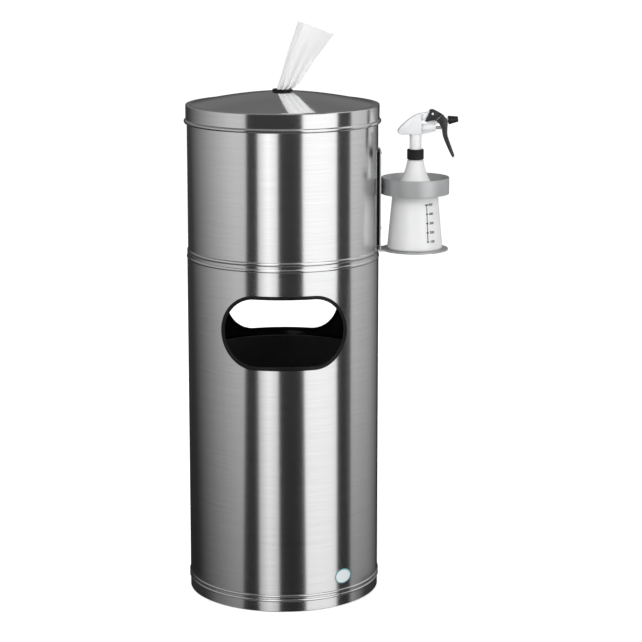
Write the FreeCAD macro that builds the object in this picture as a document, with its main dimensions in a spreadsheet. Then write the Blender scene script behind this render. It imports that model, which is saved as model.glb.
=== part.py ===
"""Disinfection station: a waste bin under a wipe dispenser, with a spray bottle in a side holder.

Millimetres, +Z up. The origin is on the floor, on the axis of the bin. The front opening faces -Y
and the bottle holder is on the +X side.
"""
import FreeCAD
import Part
import Sketcher

import math
import os

from FreeCAD import Placement, Rotation, Vector

SIZES = {
    # sheet metal and fits
    "sheet": 1.0,
    "overrun": 6.0,
    "plug_gap": 0.3,
    "shank_gap": 0.05,
    # bin
    "body_radius": 175.0,
    "body_top": 630.0,
    "band_bottom": 2.0,
    "band_top": 26.0,
    "spigot_height": 20.0,
    "base_bead_level": 22.0,
    "shell_bead_level": 30.0,
    "bead_half": 2.5,
    "bead_proud": 1.7,
    "hem_half": 3.0,
    "hem_proud": 1.0,
    "hem_drop": 4.0,
    "foot_height": 10.0,
    "foot_width": 14.0,
    "foot_inset": 3.0,
    # waste openings and their edge trims
    "opening_drop": 116.0,
    "opening_half_height": 67.0,
    "opening_half_width": 112.0,
    "opening_end": 58.0,
    "trim_cover": 4.5,
    "trim_edge": 2.0,
    "trim_lip": 1.6,
    # blank badge near the foot
    "badge_half_width": 18.0,
    "badge_half_height": 13.5,
    "badge_level": 56.5,
    "badge_angle": 37.2,
    "badge_thickness": 0.7,
    # inner liner
    "liner_below": 7.0,
    "liner_clear": 8.0,
    "liner_taper": 12.0,
    "liner_wall": 2.0,
    "liner_rim": 4.0,
    "liner_rim_height": 7.0,
    # wipes container
    "container_gap": 0.5,
    "container_rise": 272.0,
    "plug_depth": 27.0,
    "stop_ledge": 4.0,
    "stop_bead_height": 7.0,
    "stop_bead_proud": 1.5,
    "lip_width": 11.0,
    "floor_flange": 14.0,
    # roll of wipes
    "roll_radius": 120.0,
    "roll_headroom": 67.0,
    "roll_core": 22.0,
    # lid
    "lid_gap": 1.1,
    "lid_drop": 34.5,
    "lid_ledge": 8.0,
    "lid_rise": 22.0,
    "lid_dome": 1000.0,
    "lid_land": 5.5,
    "lid_bead_height": 8.0,
    "lid_bead_proud": 3.2,
    # dispensing ring
    "grommet_bore": 12.5,
    "grommet_wall": 2.7,
    "grommet_lip": 3.0,
    "grommet_rise": 4.2,
    "grommet_under": 3.5,
    "grommet_round": 1.6,
    # wipe and its feed strand
    "wipe_thickness": 1.2,
    "wipe_lap": 2.2,
    "wipe_width": 70.0,
    "wipe_rise": 127.0,
    "strand_clear": 4.5,
    "strand_reach": 20.0,
    # bottle holder
    "plate_gap": 1.9,
    "plate_thickness": 2.5,
    "plate_width": 50.0,
    "plate_rise": 182.0,
    "pad_width": 44.0,
    "pad_rise": 9.0,
    "pad_inset": 2.0,
    "tray_rise": 7.0,
    "tray_inset": 1.0,
    "ring_clear": 9.5,
    "ring_wall": 2.0,
    "ring_rise": 101.0,
    "ring_height": 30.0,
    "ring_standoff": 1.4,
    "ring_pad_height": 6.0,
    "ring_pad_width": 18.0,
    "rivet_radius": 2.5,
    "rivet_head": 4.2,
    "rivet_head_height": 1.6,
    "screw_radius": 2.0,
    "screw_head": 4.0,
    "screw_head_height": 2.6,
    "upper_screw_drop": 7.0,
    "lower_screw_rise": 37.0,
    "nut_radius": 4.0,
    "nut_height": 3.2,
    # bottle, heights above its base
    "bottle_radius": 50.5,
    "bottle_heel": 4.0,
    "bottle_wall": 1.2,
    "waist_draw": 8.0,
    "waist_height": 90.0,
    "shoulder_radius": 29.0,
    "shoulder_rise": 31.0,
    "shoulder_round": 48.0,
    "throat_radius": 15.0,
    "throat_rise": 40.0,
    "throat_sweep": 103.0,
    "neck_radius": 12.4,
    "neck_wall": 1.8,
    "neck_height": 14.5,
    # screw collar
    "collar_wall": 2.35,
    "collar_height": 19.0,
    "collar_lip": 2.8,
    "thread_gap": 0.5,
    "collar_rib": 0.55,
    "collar_rib_count": 32.0,
    # sprayer
    "gasket_thickness": 1.2,
    "flange_thickness": 2.3,
    "stem_step": 1.65,
    "stem_rise": 33.5,
    "tube_radius": 2.6,
    "tube_wall": 0.7,
    "tube_socket": 12.0,
    "tube_clear": 6.0,
    "ball_radius": 2.2,
    "ball_seat": 1.6,
    "ball_seat_depth": 2.0,
    "ball_room": 0.4,
    "ball_chamber": 6.0,
    "pump_rise": 12.0,
    "pump_bore": 5.4,
    "pump_wall": 1.6,
    "pump_rear": 11.0,
    "pump_front": 36.0,
    "pump_end_wall": 2.0,
    "spray_start": 20.0,
    "spray_rise": 9.5,
    "spray_tilt": 6.0,
    "barrel_bore": 1.8,
    "barrel_wall": 2.2,
    "barrel_end": 10.5,
    "channel_radius": 1.2,
    "rib_half": 4.0,
    "lug_gap": 1.1,
    "lug_round": 4.4,
    "clip_radius": 2.0,
    "clip_rise": 8.0,
    "plug_length": 7.0,
    "shroud_reach": 33.0,
    "shroud_front": 10.0,
    "shroud_height": 39.0,
    "shroud_half": 10.5,
    "shroud_wall": 1.4,
    # trigger, measured from its pivot
    "pivot_reach": 30.0,
    "pivot_rise": 26.0,
    "pin_radius": 2.0,
    "trigger_reach": 40.0,
    "trigger_length": 80.0,
    "trigger_gap": 0.6,
    "cheek": 2.0,
    # piston and its spring
    "piston_gap": 0.05,
    "piston_start": 14.0,
    "piston_head": 6.0,
    "piston_rod": 3.0,
    "piston_tip": 1.0,
    "piston_play": 0.3,
    "spring_radius": 4.2,
    "spring_wire": 0.45,
    "spring_turns": 7.0,
    # nozzle, measured along the spray axis
    "nozzle_clear": 1.7,
    "nozzle_overlap": 10.5,
    "nozzle_length": 18.0,
    "nozzle_radius": 7.7,
    "nozzle_tip": 5.2,
    "nozzle_barrel": 2.5,
    "nozzle_face": 1.8,
    "nozzle_orifice": 0.7,
    "nozzle_gap": 0.06,
}

# corner of the trigger that is nearest to the nozzle, as a share of its reach
TRIGGER_FRONT_SHARE = 0.685
# outline of the trigger seen from the side, as shares of its reach and its length from the pivot
TRIGGER_SHARES = [
    (-0.12, 0.06), (0.0, 0.085), (0.10, 0.075), (0.458, -0.025), (0.59, -0.088), (TRIGGER_FRONT_SHARE, -0.18),
    (0.675, -0.437), (0.755, -0.60), (0.99, -0.92), (0.975, -0.97), (0.908, -0.985), (0.665, -0.73),
    (0.51, -0.533), (0.43, -0.344), (0.17, -0.16), (-0.275, -0.178), (-0.33, -0.155),
]
# hollow between the cheeks, open to the rear and round the barrel
TRIGGER_HOLLOW_SHARES = [
    (-0.6, 0.061), (0.95, 0.061), (0.95, -0.22), (0.61, -0.22), (0.605, -0.40), (0.68, -0.585),
    (0.885, -0.875), (0.80, -0.91), (-0.6, -0.91),
]
# slit through both cheeks
TRIGGER_SLIT_SHARES = [(0.182, -0.124), (0.203, -0.136), (0.39, -0.056), (0.37, -0.044)]

# side outline of the shroud, as shares of its rear reach and its height, without its front edge
SHROUD_SHARES = [(-0.82, 0.0), (-1.0, 0.10), (-0.98, 0.23)]
# lug that carries the pivot, as shares of the trigger's reach and length
LUG_SHARES = [(-0.48, -0.16), (0.45, -0.16), (0.45, -0.035), (0.11, 0.0), (-0.02, 0.052), (-0.48, 0.004)]
# rib between stem and pump, as shares of the pump's front reach and of its height over the stem
RIB_SHARES = [(-0.28, -0.2), (0.29, -0.2), (0.31, 0.0), (1.0, 0.45), (1.0, 1.0), (-0.28, 1.0)]
# channel from the pump to the barrel, as a share of the pump's front reach
CHANNEL_SHARE = 0.88
# rivets of the ring, as shares of its height
RIVET_SHARES = (0.3, 0.7)

# Sections of the standing wipe from bottom to top. Each gives the left and right end as shares of
# the wipe's width and of its rise above the lid, and how deep the waves are as a share of the width.
WIPE_SECTION_SHARES = [
    ((-0.155, -0.02), (0.155, -0.02), 0.12),
    ((-0.165, 0.042), (0.165, 0.042), 0.13),
    ((-0.13, 0.085), (0.44, 0.095), 0.16),
    ((0.11, 0.48), (0.86, 0.40), 0.15),
    ((0.41, 1.0), (1.32, 0.775), 0.12),
]
# waves of the wipe along its width, from the left edge, as shares of width and of wave depth
WIPE_WAVE_SHARES = [(0.0, 0.2), (0.25, -0.2), (0.5, 0.35), (0.75, -0.25), (1.0, 0.3)]
# width of the strip that is folded over at the left edge, and where its free edge steps down
WIPE_LAP_SHARES = (0.13, 0.15)

AXIS_TURNS = {
    "X": Rotation(Vector(0, 1, 0), 90),
    "Y": Rotation(Vector(1, 0, 0), -90),
    "Z": Rotation(),
}


class Size:
    """A number together with the sheet formula that it follows."""

    def __init__(self, value, formula):
        self.value = value
        self.formula = formula

    def __add__(self, other):
        other = as_size(other)
        return Size(self.value + other.value, f"({self.formula} + {other.formula})")

    def __sub__(self, other):
        other = as_size(other)
        return Size(self.value - other.value, f"({self.formula} - {other.formula})")

    def __mul__(self, other):
        other = as_size(other)
        return Size(self.value * other.value, f"({self.formula} * {other.formula})")

    def __truediv__(self, other):
        other = as_size(other)
        return Size(self.value / other.value, f"({self.formula} / {other.formula})")

    def __neg__(self):
        return Size(-self.value, f"(-{self.formula})")


def as_size(number):
    if isinstance(number, Size):
        return number
    return Size(float(number), f"({float(number)!r})")


def bead_arc(half, proud):
    """Radius of the arc that rises by proud over twice half."""
    return (half * half + proud * proud) / (proud * 2)


ZERO = as_size(0)

doc = FreeCAD.newDocument("disinfection_station")
sheet = doc.addObject("Spreadsheet::Sheet", "Sizes")


def fill_sheet():
    """Put every driving size into the sheet and give it back as a bound size."""
    named = {}
    for row, (alias, value) in enumerate(SIZES.items(), start=1):
        sheet.set(f"A{row}", alias)
        sheet.set(f"B{row}", repr(value))
        sheet.setAlias(f"B{row}", alias)
        named[alias] = Size(value, f"Sizes.{alias}")
    doc.recompute()
    return named


class Named:
    """Gives the sizes by their names."""

    def __init__(self, named):
        self.__dict__.update(named)


S = Named(fill_sheet())
NODES = []


def bind(item, path, size):
    item.setExpression(path, as_size(size).formula)


def place(item, at, turn=None):
    """Turn an object and hold its base point to the sheet."""
    if turn is not None:
        item.Placement = Placement(Vector(), turn)
    for letter, size in zip("xyz", at):
        bind(item, f"Placement.Base.{letter}", size)


def node(item, label):
    """Name a finished sub-part, which is then written out under that name."""
    item.Label = label
    NODES.append(item)
    return item


class Corner:
    """A corner of an outline, reached by a straight side or by an arc that turns left or right."""

    def __init__(self, x, y, radius=None, left=True):
        self.x = as_size(x)
        self.y = as_size(y)
        self.radius = radius
        self.left = left

    def point(self):
        return Vector(self.x.value, self.y.value, 0)


def add_side(sketch, start, end):
    """Add one side and say which of its vertices come first and last along the outline."""
    first = start.point()
    last = end.point()
    if end.radius is None:
        return sketch.addGeometry(Part.LineSegment(first, last)), 1, 2
    radius = end.radius.value
    half = (last - first) * 0.5
    rise = math.sqrt(max(radius ** 2 - half.Length ** 2, 0.0))
    normal = Vector(-half.y, half.x, 0).normalize()
    centre = first + half + normal * (rise if end.left else -rise)
    if not end.left:
        first, last = last, first
    opening = math.atan2(first.y - centre.y, first.x - centre.x)
    closing = math.atan2(last.y - centre.y, last.x - centre.x)
    if closing < opening:
        closing += 2 * math.pi
    circle = Part.Circle(centre, Vector(0, 0, 1), radius)
    side = sketch.addGeometry(Part.ArcOfCircle(circle, opening, closing))
    number = sketch.addConstraint(Sketcher.Constraint("Radius", side, radius))
    bind(sketch, f"Constraints[{number}]", end.radius)
    return (side, 1, 2) if end.left else (side, 2, 1)


def hold(sketch, side, vertex, kind, size, axis):
    """Hold one coordinate of a vertex to the sheet, or to the axis where it is zero."""
    if size is ZERO or size.value == 0:
        sketch.addConstraint(Sketcher.Constraint("PointOnObject", side, vertex, axis))
        return
    number = sketch.addConstraint(Sketcher.Constraint(kind, -1, 1, side, vertex, size.value))
    bind(sketch, f"Constraints[{number}]", size)


def draw(body, name, role, corners):
    """Sketch a closed outline on one of the body's own planes."""
    sketch = body.newObject("Sketcher::SketchObject", name)
    plane = [item for item in body.Origin.OriginFeatures if item.Role == role][0]
    sketch.AttachmentSupport = [(plane, "")]
    sketch.MapMode = "FlatFace"
    sides = [add_side(sketch, corners[index - 1], corners[index]) for index in range(len(corners))]
    for index, (side, _, last) in enumerate(sides):
        following, first, _ = sides[(index + 1) % len(sides)]
        sketch.addConstraint(Sketcher.Constraint("Coincident", side, last, following, first))
        hold(sketch, side, last, "DistanceX", corners[index].x, -2)
        hold(sketch, side, last, "DistanceY", corners[index].y, -1)
    return sketch


def turned(name, corners, at=(ZERO, ZERO, ZERO), turn=None):
    """Turn an outline of radius and height about the body's own Z axis."""
    body = doc.addObject("PartDesign::Body", name)
    sketch = draw(body, f"{name}_outline", "XZ_Plane", corners)
    revolution = body.newObject("PartDesign::Revolution", f"{name}_turned")
    revolution.Profile = sketch
    revolution.ReferenceAxis = (sketch, ["V_Axis"])
    revolution.Angle = 360
    place(body, at, turn)
    return body


def slab(name, corners, thickness, at=(ZERO, ZERO, ZERO)):
    """Pad a side outline of X and Z evenly to both sides along Y."""
    body = doc.addObject("PartDesign::Body", name)
    sketch = draw(body, f"{name}_outline", "XZ_Plane", corners)
    pad = body.newObject("PartDesign::Pad", f"{name}_pad")
    pad.Profile = sketch
    pad.SideType = "Symmetric"
    bind(pad, "Length", thickness)
    place(body, at)
    return body


def rod(name, radius, length, at, axis="Z"):
    item = doc.addObject("Part::Cylinder", name)
    bind(item, "Radius", radius)
    bind(item, "Height", length)
    place(item, at, axis if isinstance(axis, Rotation) else AXIS_TURNS[axis])
    return item


def block(name, sizes, at):
    item = doc.addObject("Part::Box", name)
    for path, size in zip(("Length", "Width", "Height"), sizes):
        bind(item, path, size)
    place(item, at)
    return item


def fused(name, items):
    item = doc.addObject("Part::MultiFuse", name)
    item.Shapes = items
    return item


def common(name, first, second):
    item = doc.addObject("Part::MultiCommon", name)
    item.Shapes = [first, second]
    return item


def cut(name, base, tool):
    item = doc.addObject("Part::Cut", name)
    item.Base = base
    item.Tool = tool
    return item


def group(name, items):
    item = doc.addObject("Part::Compound", name)
    item.Links = items
    return item


def tube(name, inner, outer, height, at):
    """A plain ring of the given radii."""
    corners = [Corner(inner, 0), Corner(outer, 0), Corner(outer, height), Corner(inner, height)]
    return turned(name, corners, at)


def from_shares(shares, wide, tall):
    """Corners whose coordinates are shares of two sizes."""
    return [Corner(wide * across, tall * up) for across, up in shares]


# places that several pieces share
body_inner = S.body_radius - S.sheet
pan_floor = S.foot_height + S.sheet
spigot_radius = body_inner - S.plug_gap
opening_level = S.body_top - S.opening_drop
liner_top = opening_level - S.opening_half_height - S.liner_below
liner_top_radius = body_inner - S.liner_clear - S.liner_rim
liner_bottom_radius = liner_top_radius - S.liner_taper
container_radius = body_inner - S.container_gap
container_inner = container_radius - S.sheet
container_bottom = S.body_top - S.plug_depth
container_top = S.body_top + S.container_rise
container_floor_top = container_bottom + S.sheet * 2
roll_top = container_top - S.roll_headroom
lid_radius = container_radius + S.lid_gap + S.sheet
lid_corner = S.lid_gap + S.sheet - S.shank_gap * 2
lid_hole = S.grommet_bore + S.grommet_wall + S.plug_gap
rim_top = container_top + S.sheet
land_top = rim_top + S.lid_rise
land_radius = lid_hole + S.lid_land
plate_inner = container_radius + S.plate_gap
plate_outer = plate_inner + S.plate_thickness
tray_top = S.body_top + S.tray_rise
tray_bottom = tray_top - S.plate_thickness
plate_top = tray_top + S.plate_rise
pad_bottom = tray_top + S.pad_rise
pad_top = plate_top - S.pad_inset
ring_bottom = tray_top + S.ring_rise
ring_radius = S.bottle_radius + S.ring_clear + S.ring_wall
upper_screw_level = plate_top - S.upper_screw_drop
lower_screw_level = tray_top + S.lower_screw_rise
holder_axis = plate_outer + S.ring_standoff + ring_radius
bottle_base = tray_top


def above_bottle(height):
    return bottle_base + height


def beside_bottle(reach):
    return holder_axis + reach


# Bin

def make_base_pan():
    """Floor of the bin, its plain band at the foot and the spigot that carries the shell."""
    arc = bead_arc(S.bead_half, S.bead_proud)
    corners = [
        Corner(0, S.foot_height), Corner(body_inner, S.foot_height),
        Corner(body_inner, S.band_bottom), Corner(S.body_radius, S.band_bottom),
        Corner(S.body_radius, S.base_bead_level - S.bead_half),
        Corner(S.body_radius, S.base_bead_level + S.bead_half, arc),
        Corner(S.body_radius, S.band_top), Corner(spigot_radius, S.band_top),
        Corner(spigot_radius, S.band_top + S.spigot_height),
        Corner(spigot_radius - S.sheet, S.band_top + S.spigot_height),
        Corner(spigot_radius - S.sheet, pan_floor), Corner(0, pan_floor),
    ]
    node(turned("base_pan", corners), "base_pan")


def make_foot_ring():
    """Ring that keeps the band off the floor."""
    outer = body_inner - S.foot_inset
    ring = tube("foot_ring", outer - S.foot_width, outer, S.foot_height, (ZERO, ZERO, ZERO))
    node(ring, "foot_ring")


def oval_bar(name, halves, depth, base, turn):
    """Bar of oval section along the Z axis that the turn gives it."""
    oval = doc.addObject("Part::Ellipse", f"{name}_outline")
    for key, half in zip(("MajorRadius", "MinorRadius"), halves):
        bind(oval, key, half)
    place(oval, base, turn)
    bar = doc.addObject("Part::Extrusion", name)
    bar.Base = oval
    bar.DirMode = "Custom"
    bar.Dir = turn.multVec(Vector(0, 0, 1))
    bar.Solid = True
    bind(bar, "LengthFwd", depth)
    return bar


def stadium(name, inset, depth, towards):
    """Bar of the opening's outline, drawn in by an inset, from the bin's axis out to front or rear."""
    half_height = S.opening_half_height - inset
    end = S.opening_end - inset
    straight = S.opening_half_width - S.opening_end
    near = -depth if towards < 0 else ZERO
    pieces = [block(f"{name}_middle", (straight * 2, depth, half_height * 2),
                    (-straight, near, opening_level - half_height))]
    upright = Rotation(Vector(0, 0, 1), Vector(1, 0, 0), Vector(0, 1, 0), "ZXY")
    for side, shift in (("left", -straight), ("right", straight)):
        base = (shift, near, opening_level)
        pieces.append(oval_bar(f"{name}_{side}_end", (half_height, end), depth, base, upright))
    return fused(name, pieces)


def make_body_shell():
    """Tube of the bin with its two waste openings."""
    arc = bead_arc(S.bead_half, S.bead_proud)
    hem_arc = bead_arc(S.hem_half, S.hem_proud)
    hem_level = S.body_top - S.hem_drop
    corners = [
        Corner(body_inner, S.band_top), Corner(S.body_radius, S.band_top),
        Corner(S.body_radius, S.shell_bead_level - S.bead_half),
        Corner(S.body_radius, S.shell_bead_level + S.bead_half, arc),
        Corner(S.body_radius, hem_level - S.hem_half),
        Corner(S.body_radius, hem_level + S.hem_half, hem_arc),
        Corner(S.body_radius, S.body_top), Corner(body_inner, S.body_top),
    ]
    plain = turned("body_tube", corners)
    depth = S.body_radius + S.overrun
    openings = [stadium("front_cut", S.trim_cover, depth, -1), stadium("rear_cut", S.trim_cover, depth, 1)]
    shell = plain
    for name, opening in zip(("shell_front", "body_shell"), openings):
        shell = cut(name, shell, opening)
    node(shell, "body_shell")


def make_trim(name, towards):
    """Edge trim of one opening: a channel that grips the edge of the sheet."""
    depth = S.body_radius + S.overrun
    inner = body_inner - S.trim_lip
    outer = S.body_radius + S.trim_lip
    height = (S.opening_half_height + S.overrun) * 2
    base = (ZERO, ZERO, opening_level - S.opening_half_height - S.overrun)
    ring = tube(f"{name}_ring", inner, outer, height, base)
    solid = common(f"{name}_blank", ring, stadium(f"{name}_outer", ZERO, depth, towards))
    hollow = stadium(f"{name}_inner", S.trim_cover + S.trim_edge, depth, towards)
    holed = cut(f"{name}_holed", solid, hollow)
    gap = S.shank_gap
    wall = tube(f"{name}_wall", body_inner - gap, S.body_radius + gap, height, base)
    edge = cut(f"{name}_edge", wall, stadium(f"{name}_sheet_edge", S.trim_cover, depth, towards))
    node(cut(name, holed, edge), name)


def make_badge():
    """Blank oval badge on the shell."""
    outward = Rotation(Vector(0, 0, 1), S.badge_angle.value).multiply(Rotation(Vector(1, 0, 0), 90))
    reach = S.body_radius + S.overrun
    oval = oval_bar("badge_bar", (S.badge_half_width, S.badge_half_height), reach,
                    (ZERO, ZERO, S.badge_level), outward)
    half_height = S.badge_half_height + S.overrun
    skin = tube("badge_skin", S.body_radius + S.shank_gap, S.body_radius + S.badge_thickness,
                half_height * 2, (ZERO, ZERO, S.badge_level - half_height))
    node(common("blank_badge", skin, oval), "blank_badge")


def make_liner():
    """Tapered bucket with a turned-out rim, standing on the floor of the bin."""
    floor = pan_floor + S.liner_wall
    rim_low = liner_top - S.liner_rim_height
    corners = [
        Corner(0, pan_floor), Corner(liner_bottom_radius, pan_floor),
        Corner(liner_top_radius, rim_low),
        Corner(liner_top_radius + S.liner_rim, rim_low),
        Corner(liner_top_radius + S.liner_rim, liner_top),
        Corner(liner_top_radius - S.liner_wall, liner_top),
        Corner(liner_bottom_radius - S.liner_wall, floor), Corner(0, floor),
    ]
    node(turned("inner_liner", corners), "inner_liner")


# Wipes container

def wall_holes(name, radius, start, length):
    """Round holes along X at both screw levels of the holder."""
    levels = (("low", lower_screw_level), ("high", upper_screw_level))
    return [rod(f"{name}_{tag}", radius, length, (start, ZERO, level), "X") for tag, level in levels]


def make_container_shell():
    """Upper tube: its plug, the ledge and bead that rest on the bin and the lip under its floor."""
    arc = bead_arc(S.stop_bead_height / 2, S.stop_bead_proud)
    bead_foot = S.body_top + S.stop_ledge
    corners = [
        Corner(container_radius - S.lip_width, container_bottom),
        Corner(container_radius, container_bottom), Corner(container_radius, S.body_top),
        Corner(container_radius + S.stop_bead_proud, S.body_top),
        Corner(container_radius + S.stop_bead_proud, bead_foot), Corner(container_radius, bead_foot),
        Corner(container_radius, bead_foot + S.stop_bead_height, arc),
        Corner(container_radius, container_top), Corner(container_inner, container_top),
        Corner(container_inner, container_bottom + S.sheet),
        Corner(container_radius - S.lip_width, container_bottom + S.sheet),
    ]
    plain = turned("container_tube", corners)
    radius = S.screw_radius + S.shank_gap
    holes = wall_holes("container_hole", radius, container_inner - S.overrun, S.sheet + S.overrun * 2)
    node(cut("container_shell", plain, fused("container_holes", holes)), "container_shell")


def make_container_floor():
    """Pan that the roll stands on."""
    outer = container_inner - S.plug_gap
    base = container_bottom + S.sheet
    corners = [
        Corner(0, base), Corner(outer, base), Corner(outer, base + S.floor_flange),
        Corner(outer - S.sheet, base + S.floor_flange), Corner(outer - S.sheet, container_floor_top),
        Corner(0, container_floor_top),
    ]
    node(turned("container_floor", corners), "container_floor")


def make_roll():
    """Centre-feed roll of wipes."""
    node(tube("wipes_roll", S.roll_core, S.roll_radius, roll_top - container_floor_top,
              (ZERO, ZERO, container_floor_top)), "wipes_roll")


# Lid

def make_lid():
    """Domed lid with a flat ledge on the container, a skirt and a rolled bead."""
    skirt_inner = lid_radius - S.sheet
    low = rim_top - S.lid_drop
    corner_inner = lid_corner - S.sheet
    flat = lid_radius - lid_corner - S.lid_ledge
    bead_half = S.lid_bead_height / 2
    arc = bead_arc(bead_half, S.lid_bead_proud)
    corners = [
        Corner(lid_hole, land_top - S.sheet), Corner(land_radius, land_top - S.sheet),
        Corner(flat, container_top, S.lid_dome, False),
        Corner(lid_radius - lid_corner, container_top),
        Corner(skirt_inner, rim_top - lid_corner, corner_inner, False),
        Corner(skirt_inner, low), Corner(lid_radius, low),
        Corner(lid_radius, low + S.lid_bead_height, arc),
        Corner(lid_radius, rim_top - lid_corner),
        Corner(lid_radius - lid_corner, rim_top, lid_corner),
        Corner(flat, rim_top), Corner(land_radius, land_top, S.lid_dome),
        Corner(lid_hole, land_top),
    ]
    node(turned("lid", corners), "lid")


def make_grommet():
    """Black dispensing ring that snaps into the lid."""
    groove = lid_hole - S.plug_gap
    grommet_radius = lid_hole + S.grommet_lip
    under = land_top - S.sheet
    low = under - S.grommet_under
    high = land_top + S.grommet_rise
    bend = S.grommet_round
    corners = [
        Corner(S.grommet_bore, low), Corner(grommet_radius, low), Corner(grommet_radius, under),
        Corner(groove, under), Corner(groove, land_top), Corner(grommet_radius, land_top),
        Corner(grommet_radius, high - bend), Corner(grommet_radius - bend, high, bend),
        Corner(S.grommet_bore + bend, high), Corner(S.grommet_bore, high - bend, bend),
    ]
    node(turned("grommet", corners), "grommet")


def wipe_section(left, right, wave):
    """Closed outline across the wipe: wavy, with a strip folded over at its left edge."""
    width = S.wipe_width.value
    low = Vector(left[0] * width, 0, land_top.value + left[1] * S.wipe_rise.value)
    high = Vector(right[0] * width, 0, land_top.value + right[1] * S.wipe_rise.value)
    depth = wave * width
    half = S.wipe_thickness.value / 2
    lap = S.wipe_lap.value

    def at(share, offset):
        across = zip(WIPE_WAVE_SHARES, WIPE_WAVE_SHARES[1:])
        start, end = [pair for pair in across if pair[0][0] <= share <= pair[1][0]][0]
        part = (share - start[0]) / (end[0] - start[0])
        swing = start[1] + (end[1] - start[1]) * part
        return low + (high - low) * share + Vector(0, swing * depth + offset, 0)

    back = [at(share, half) for share, _ in reversed(WIPE_WAVE_SHARES)]
    strip, step = WIPE_LAP_SHARES
    front = [at(0, -lap), at(strip, -lap), at(step, -half)]
    front += [at(share, -half) for share, _ in WIPE_WAVE_SHARES[1:]]
    outline = back + front
    return Part.makePolygon(outline + outline[:1])


def make_wipe():
    """Wipe that stands out of the ring, and the strand that feeds it from the roll."""
    sections = [wipe_section(*shares) for shares in WIPE_SECTION_SHARES]
    wipe = doc.addObject("Part::Feature", "wipe_sheet")
    wipe.Shape = Part.makeLoft(sections, True, True)
    node(wipe, "wipe_sheet")
    bottom = roll_top - S.strand_reach
    top = land_top + S.wipe_rise * WIPE_SECTION_SHARES[0][0][1]
    strand = rod("wipe_strand", S.grommet_bore - S.strand_clear, top - bottom, (ZERO, ZERO, bottom))
    node(strand, "wipe_strand")


# Bottle holder

def make_holder_bracket():
    """Back strip and tray in one bent piece, with its screw and rivet holes."""
    half = S.plate_width / 2
    strip = block("holder_strip", (S.plate_thickness, S.plate_width, plate_top - tray_bottom),
                  (plate_inner, -half, tray_bottom))
    neck = block("holder_neck", (holder_axis - plate_inner, S.plate_width, S.plate_thickness),
                 (plate_inner, -half, tray_bottom))
    tray = rod("holder_tray", ring_radius - S.tray_inset, S.plate_thickness,
               (holder_axis, ZERO, tray_bottom))
    start = plate_inner - S.overrun
    length = S.plate_thickness + S.overrun * 2
    holes = wall_holes("strip_hole", S.screw_radius + S.shank_gap, start, length)
    holes += [rod(f"strip_rivet_hole_{index}", S.rivet_radius + S.shank_gap, length,
                  (start, ZERO, ring_bottom + S.ring_height * share), "X")
              for index, share in enumerate(RIVET_SHARES)]
    solid = fused("bracket_solid", [strip, neck, tray])
    node(cut("holder_bracket", solid, fused("bracket_holes", holes)), "holder_bracket")


def make_holder_pad():
    """Pad between the flat strip and the round container."""
    depth = container_radius
    bar = block("pad_bar", (plate_inner - depth / 2, S.pad_width, pad_top - pad_bottom),
                (depth / 2, -S.pad_width / 2, pad_bottom))
    round_wall = rod("pad_round", container_radius + S.shank_gap, pad_top, (ZERO, ZERO, S.overrun * 2))
    holes = wall_holes("pad_hole", S.screw_radius + S.shank_gap, depth / 2, depth)
    holes += [rod(f"pad_rivet_room_{index}", S.rivet_head + S.shank_gap, depth,
                  (depth / 2, ZERO, ring_bottom + S.ring_height * share), "X")
              for index, share in enumerate(RIVET_SHARES)]
    curved = cut("pad_curved", bar, round_wall)
    node(cut("holder_pad", curved, fused("pad_holes", holes)), "holder_pad")


def make_holder_ring():
    """Band that the bottle stands in, its pads and its rivets."""
    band = tube("ring_band", ring_radius - S.ring_wall, ring_radius, S.ring_height,
                (holder_axis, ZERO, ring_bottom))
    start = plate_inner
    through = S.plate_thickness + S.ring_standoff + S.ring_wall
    levels = [ring_bottom + S.ring_height * share for share in RIVET_SHARES]
    holes = [rod(f"band_hole_{index}", S.rivet_radius + S.shank_gap, through + S.overrun,
                 (start, ZERO, level), "X")
             for index, level in enumerate(levels)]
    node(cut("holder_ring", band, fused("band_holes", holes)), "holder_ring")

    seat = S.rivet_head * S.rivet_head / ((ring_radius - S.ring_wall) * 2) + S.shank_gap
    rivets = []
    for index, level in enumerate(levels):
        shank = rod(f"rivet_shank_{index}", S.rivet_radius, through + seat, (start, ZERO, level), "X")
        head = rod(f"rivet_head_{index}", S.rivet_head, S.rivet_head_height,
                   (start + through + seat, ZERO, level), "X")
        rivets.append(fused(f"rivet_{index}", [shank, head]))
    node(group("ring_rivets", rivets), "ring_rivets")

    spacing = (S.ring_height - S.ring_pad_height) / 2
    pads = []
    for index in range(3):
        level = ring_bottom + spacing * index
        bar = block(f"ring_pad_bar_{index}",
                    (S.ring_standoff + S.ring_wall, S.ring_pad_width, S.ring_pad_height),
                    (plate_outer, -S.ring_pad_width / 2, level))
        hollow = rod(f"ring_pad_round_{index}", ring_radius + S.shank_gap, S.ring_height * 2,
                     (holder_axis, ZERO, ring_bottom - S.overrun))
        pads.append(cut(f"ring_pad_{index}", bar, hollow))
    node(group("ring_pads", pads), "ring_pads")


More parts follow.
